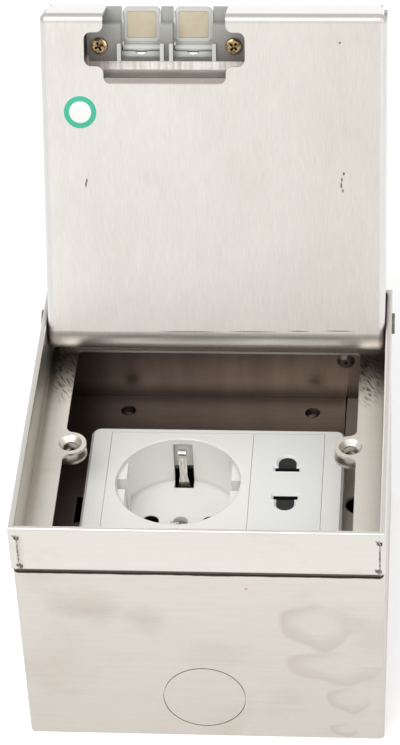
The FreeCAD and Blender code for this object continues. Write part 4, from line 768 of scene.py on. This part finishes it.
# Painted shade in the cross recess and where faces meet.
base = shaded_corners(screw_brass, base, SCREW_RECESS_SHADE, 1.2 * MM, 0.35, 0.8, 0.95)
surface(screw_brass, base, 0.26, tarnish, Metallic=1.0)
low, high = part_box("flap_bracket")
screws = [cross_screw("bracket_screw", SCREW_HEAD, SCREW_TALL, SHANK, SHANK_LENGTH,
                      facing_down((low.x + high.x) / 2 + way * SCREW_REACH, SCREW_Y, SCREW_SEAT), spin)
          for way, spin in SCREW_SPINS]
piece("bracket_screw_pair", joined("bracket_screw_pair", screws), screw_brass, "lid", "brass",
      "bracket_screws")

# ---- Sockets -------------------------------------------------------------------------------
# White mouldings: the support and the earthed module are a warm white and the two-pin module
# a little cooler. The earthed module's lower housing, seen through its openings, is black.

CLIP_LOW, CLIP_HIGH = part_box("earth_clip")
EARTHED_X = (CLIP_LOW.x + CLIP_HIGH.x) / 2
PIN_HALF_PITCH, PIN_HOLE_REACH, CUP_FLOOR = 9.5 * MM, (3.1 * MM, 3.1 * MM, 0.1), 0.0369
# Two tones of each plastic and the colour of its painted shade in corners.
WARM_WHITE = ((0.845, 0.835, 0.795, 1), (0.88, 0.87, 0.835, 1), (0.40, 0.38, 0.34, 1))
COOL_WHITE = ((0.82, 0.825, 0.81, 1), (0.85, 0.855, 0.84, 1), (0.38, 0.38, 0.37, 1))
BLACK = ((0.006, 0.006, 0.007, 1), (0.012, 0.012, 0.012, 1), (0.004, 0.004, 0.004, 1))
HOLE_SHADE = (0.008, 0.008, 0.008, 1)


def moulded(name, low, high, painted_shade, roughness=0.30, dark=None):
    """A moulding with a fine skin, painted shade in corners, and black painted shade where dark gives 1."""
    made = new_material(name)
    fine = grain(made, (0.0005, 0.0005, 0.0005))
    # Painted shade where faces meet.
    tone = shaded_corners(made, mixed(made, fine, low, high), painted_shade, 3.5 * MM, 0.3, 0.75, 0.45)
    # Painted shade in the pin holes, black below the cup's floor.
    if dark:
        tone = mixed(made, dark(made), tone, HOLE_SHADE)
    return surface(made, tone, roughness, fine, bump=0.1)


def pin_holes(material):
    """1 inside the two pin holes, below the cup's floor, where they are painted black as shade."""
    holes = most(material, *[spot(material, (EARTHED_X + way * PIN_HALF_PITCH, 0, CUP_FLOOR),
                                  PIN_HOLE_REACH, edge=0.93) for way in (-1, 1)])
    below_floor = ramp(material, along(material, 2), CUP_FLOOR - 0.4 * MM, CUP_FLOOR - 0.2 * MM, 1.0, 0.0)
    return reckon(material, "MULTIPLY", holes, below_floor)


finish(moulded("warm_white", *WARM_WHITE), "twin_housing", "support_frame")
finish(moulded("cup_white", *WARM_WHITE, dark=pin_holes), "earthed_face")
finish(moulded("cool_white", *COOL_WHITE), "twin_face")
finish(moulded("black_plastic", *BLACK, roughness=0.62), "twin_insert", "earthed_housing")

# ---- Cradle hole dishes --------------------------------------------------------------------
# A dull steel washer, dished underneath, closes each of the two rear holes of the cradle from
# below.

DISH_X, DISH_Y, CRADLE_SHEET = {"left": -0.03075, "right": 0.02925}, 0.0476, 1.2 * MM
DISH_DEEP = 0.9 * MM
DISH_PROFILE = ((0, 0), (0.9 * MM, 0), (1.2 * MM, 0.2 * MM), (2.2 * MM, 0.3 * MM), (2.6 * MM, 0.6 * MM),
                (2.6 * MM, DISH_DEEP), (0, DISH_DEEP))

# The dishes take the pan's material and its painted shade.
for side, x in DISH_X.items():
    under_cradle = Matrix.Translation((x, DISH_Y, CRADLE_TOP - CRADLE_SHEET - DISH_DEEP))
    piece("cradle_dish_" + side, turned("dish", DISH_PROFILE, under_cradle), plate_steel, "box",
          "box_steel")

# ---- Earth clip and centre screw -----------------------------------------------------------
# Nickel-plated spring strip, and the cross-recess screw that holds the cup to its housing.

NICKEL_DARK, NICKEL_BRIGHT = (0.40, 0.38, 0.345, 1), (0.80, 0.78, 0.74, 1)
NICKEL_CORNER_SHADE = (0.05, 0.045, 0.04, 1)
CUP_SCREW_HEAD, CUP_SCREW_TALL, CUP_SCREW_SHANK = 2.2 * MM, 0.9 * MM, 1.45 * MM
CUP_SCREW_SPIN = radians(35)

nickel = new_material("nickel")
skin = grain(nickel, (0.0008, 0.0008, 0.003))
base = mixed(nickel, ramp(nickel, skin, 0.35, 0.65), NICKEL_DARK, NICKEL_BRIGHT)
# Painted shade where faces meet.
base = shaded_corners(nickel, base, NICKEL_CORNER_SHADE, 2.0 * MM, 0.35, 0.8, 0.85)
surface(nickel, base, 0.20, skin, Metallic=1.0)
finish(nickel, "earth_clip")
low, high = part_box("centre_screw")
seat = Vector(((low.x + high.x) / 2, (low.y + high.y) / 2, high.z - CUP_SCREW_TALL))
cup_screw = cross_screw("cup_screw", CUP_SCREW_HEAD, CUP_SCREW_TALL, CUP_SCREW_SHANK, seat.z - low.z,
                        Matrix.Translation(seat), CUP_SCREW_SPIN)
piece("cup_screw", joined("cup_screw", [cup_screw]), nickel, "box", "nickel", "centre_screw")

# ---- Camera, light and floor ---------------------------------------------------------------
# A pale floor that keeps the shadow, a bright surround, one soft lamp above the front and a
# weak one at the right.

EYE = Vector((0.069774, -0.696581, 0.693673))
YAW, PITCH, ROLL = radians(-6.072), radians(40.407), radians(-3.249)
SURROUND_LIGHT, SURROUND_SEEN = 0.70, 1.0
KEY_AT, KEY_SIZE, KEY_POWER = (-0.5, -0.9, 1.5), 1.2, 14
FILL_AT, FILL_SIZE, FILL_POWER = (0.9, -0.7, 0.9), 1.0, 3
LAMP_AIM = (0, 0, 0.06)
FLOOR_REACH, FLOOR_PALE, FLOOR_GLOW = 4.0, (0.9, 0.9, 0.9, 1), 0.25

camera = bpy.data.objects.new("camera", bpy.data.cameras.new("camera"))
camera.data.lens = 147.33
camera.data.sensor_width = 36
camera.data.shift_x, camera.data.shift_y = 0.01086, 0.00465
camera.data.clip_start, camera.data.clip_end = 0.01, 20
camera.matrix_world = (Matrix.Translation(EYE) @ Matrix.Rotation(-YAW, 4, "Z")
                       @ Matrix.Rotation(pi / 2 - PITCH, 4, "X") @ Matrix.Rotation(ROLL, 4, "Z"))
scene = bpy.context.scene
scene.collection.objects.link(camera)
scene.camera = camera
scene.view_settings.view_transform = "Standard"


def seen_directly(lit):
    """1 for what the camera or a mirror sees, and 0 for the light that falls on things."""
    camera_ray = wire(lit, "LightPath")
    return reckon(lit, "MAXIMUM", camera_ray, camera_ray.node.outputs["Is Glossy Ray"])


world = bpy.data.worlds.new("surround")
scene.world = world
world.use_nodes = True
world.node_tree.nodes.clear()
strength = ramp(world, seen_directly(world), 0, 1, SURROUND_LIGHT, SURROUND_SEEN)
sky = wire(world, "Background", {"Color": (1, 1, 1, 1), "Strength": strength})
wire(world, "OutputWorld", {"Surface": sky})


def lamp(name, at, aim, size, power):
    """A square area lamp."""
    made = bpy.data.objects.new(name, bpy.data.lights.new(name, "AREA"))
    made.data.shape = "SQUARE"
    made.data.size = size
    made.data.energy = power
    made.location = at
    made.rotation_euler = (Vector(aim) - Vector(at)).to_track_quat("-Z", "Y").to_euler()
    scene.collection.objects.link(made)


lamp("key", KEY_AT, LAMP_AIM, KEY_SIZE, KEY_POWER)
lamp("fill", FILL_AT, LAMP_AIM, FILL_SIZE, FILL_POWER)

grid = bmesh.new()
bmesh.ops.create_grid(grid, x_segments=8, y_segments=8, size=FLOOR_REACH)
floor_mesh = bpy.data.meshes.new("floor")
grid.to_mesh(floor_mesh)
grid.free()
floor = bpy.data.objects.new("floor", floor_mesh)
scene.collection.objects.link(floor)
pale = new_material("pale_floor")
diffuse = wire(pale, "BsdfDiffuse", {"Color": FLOOR_PALE})
glow = faded(pale, seen_directly(pale), FLOOR_GLOW)
glow = wire(pale, "Emission", {"Color": (1, 1, 1, 1), "Strength": glow})
wire(pale, "OutputMaterial", {"Surface": wire(pale, "AddShader", {0: diffuse, 1: glow})})
floor_mesh.materials.append(pale)
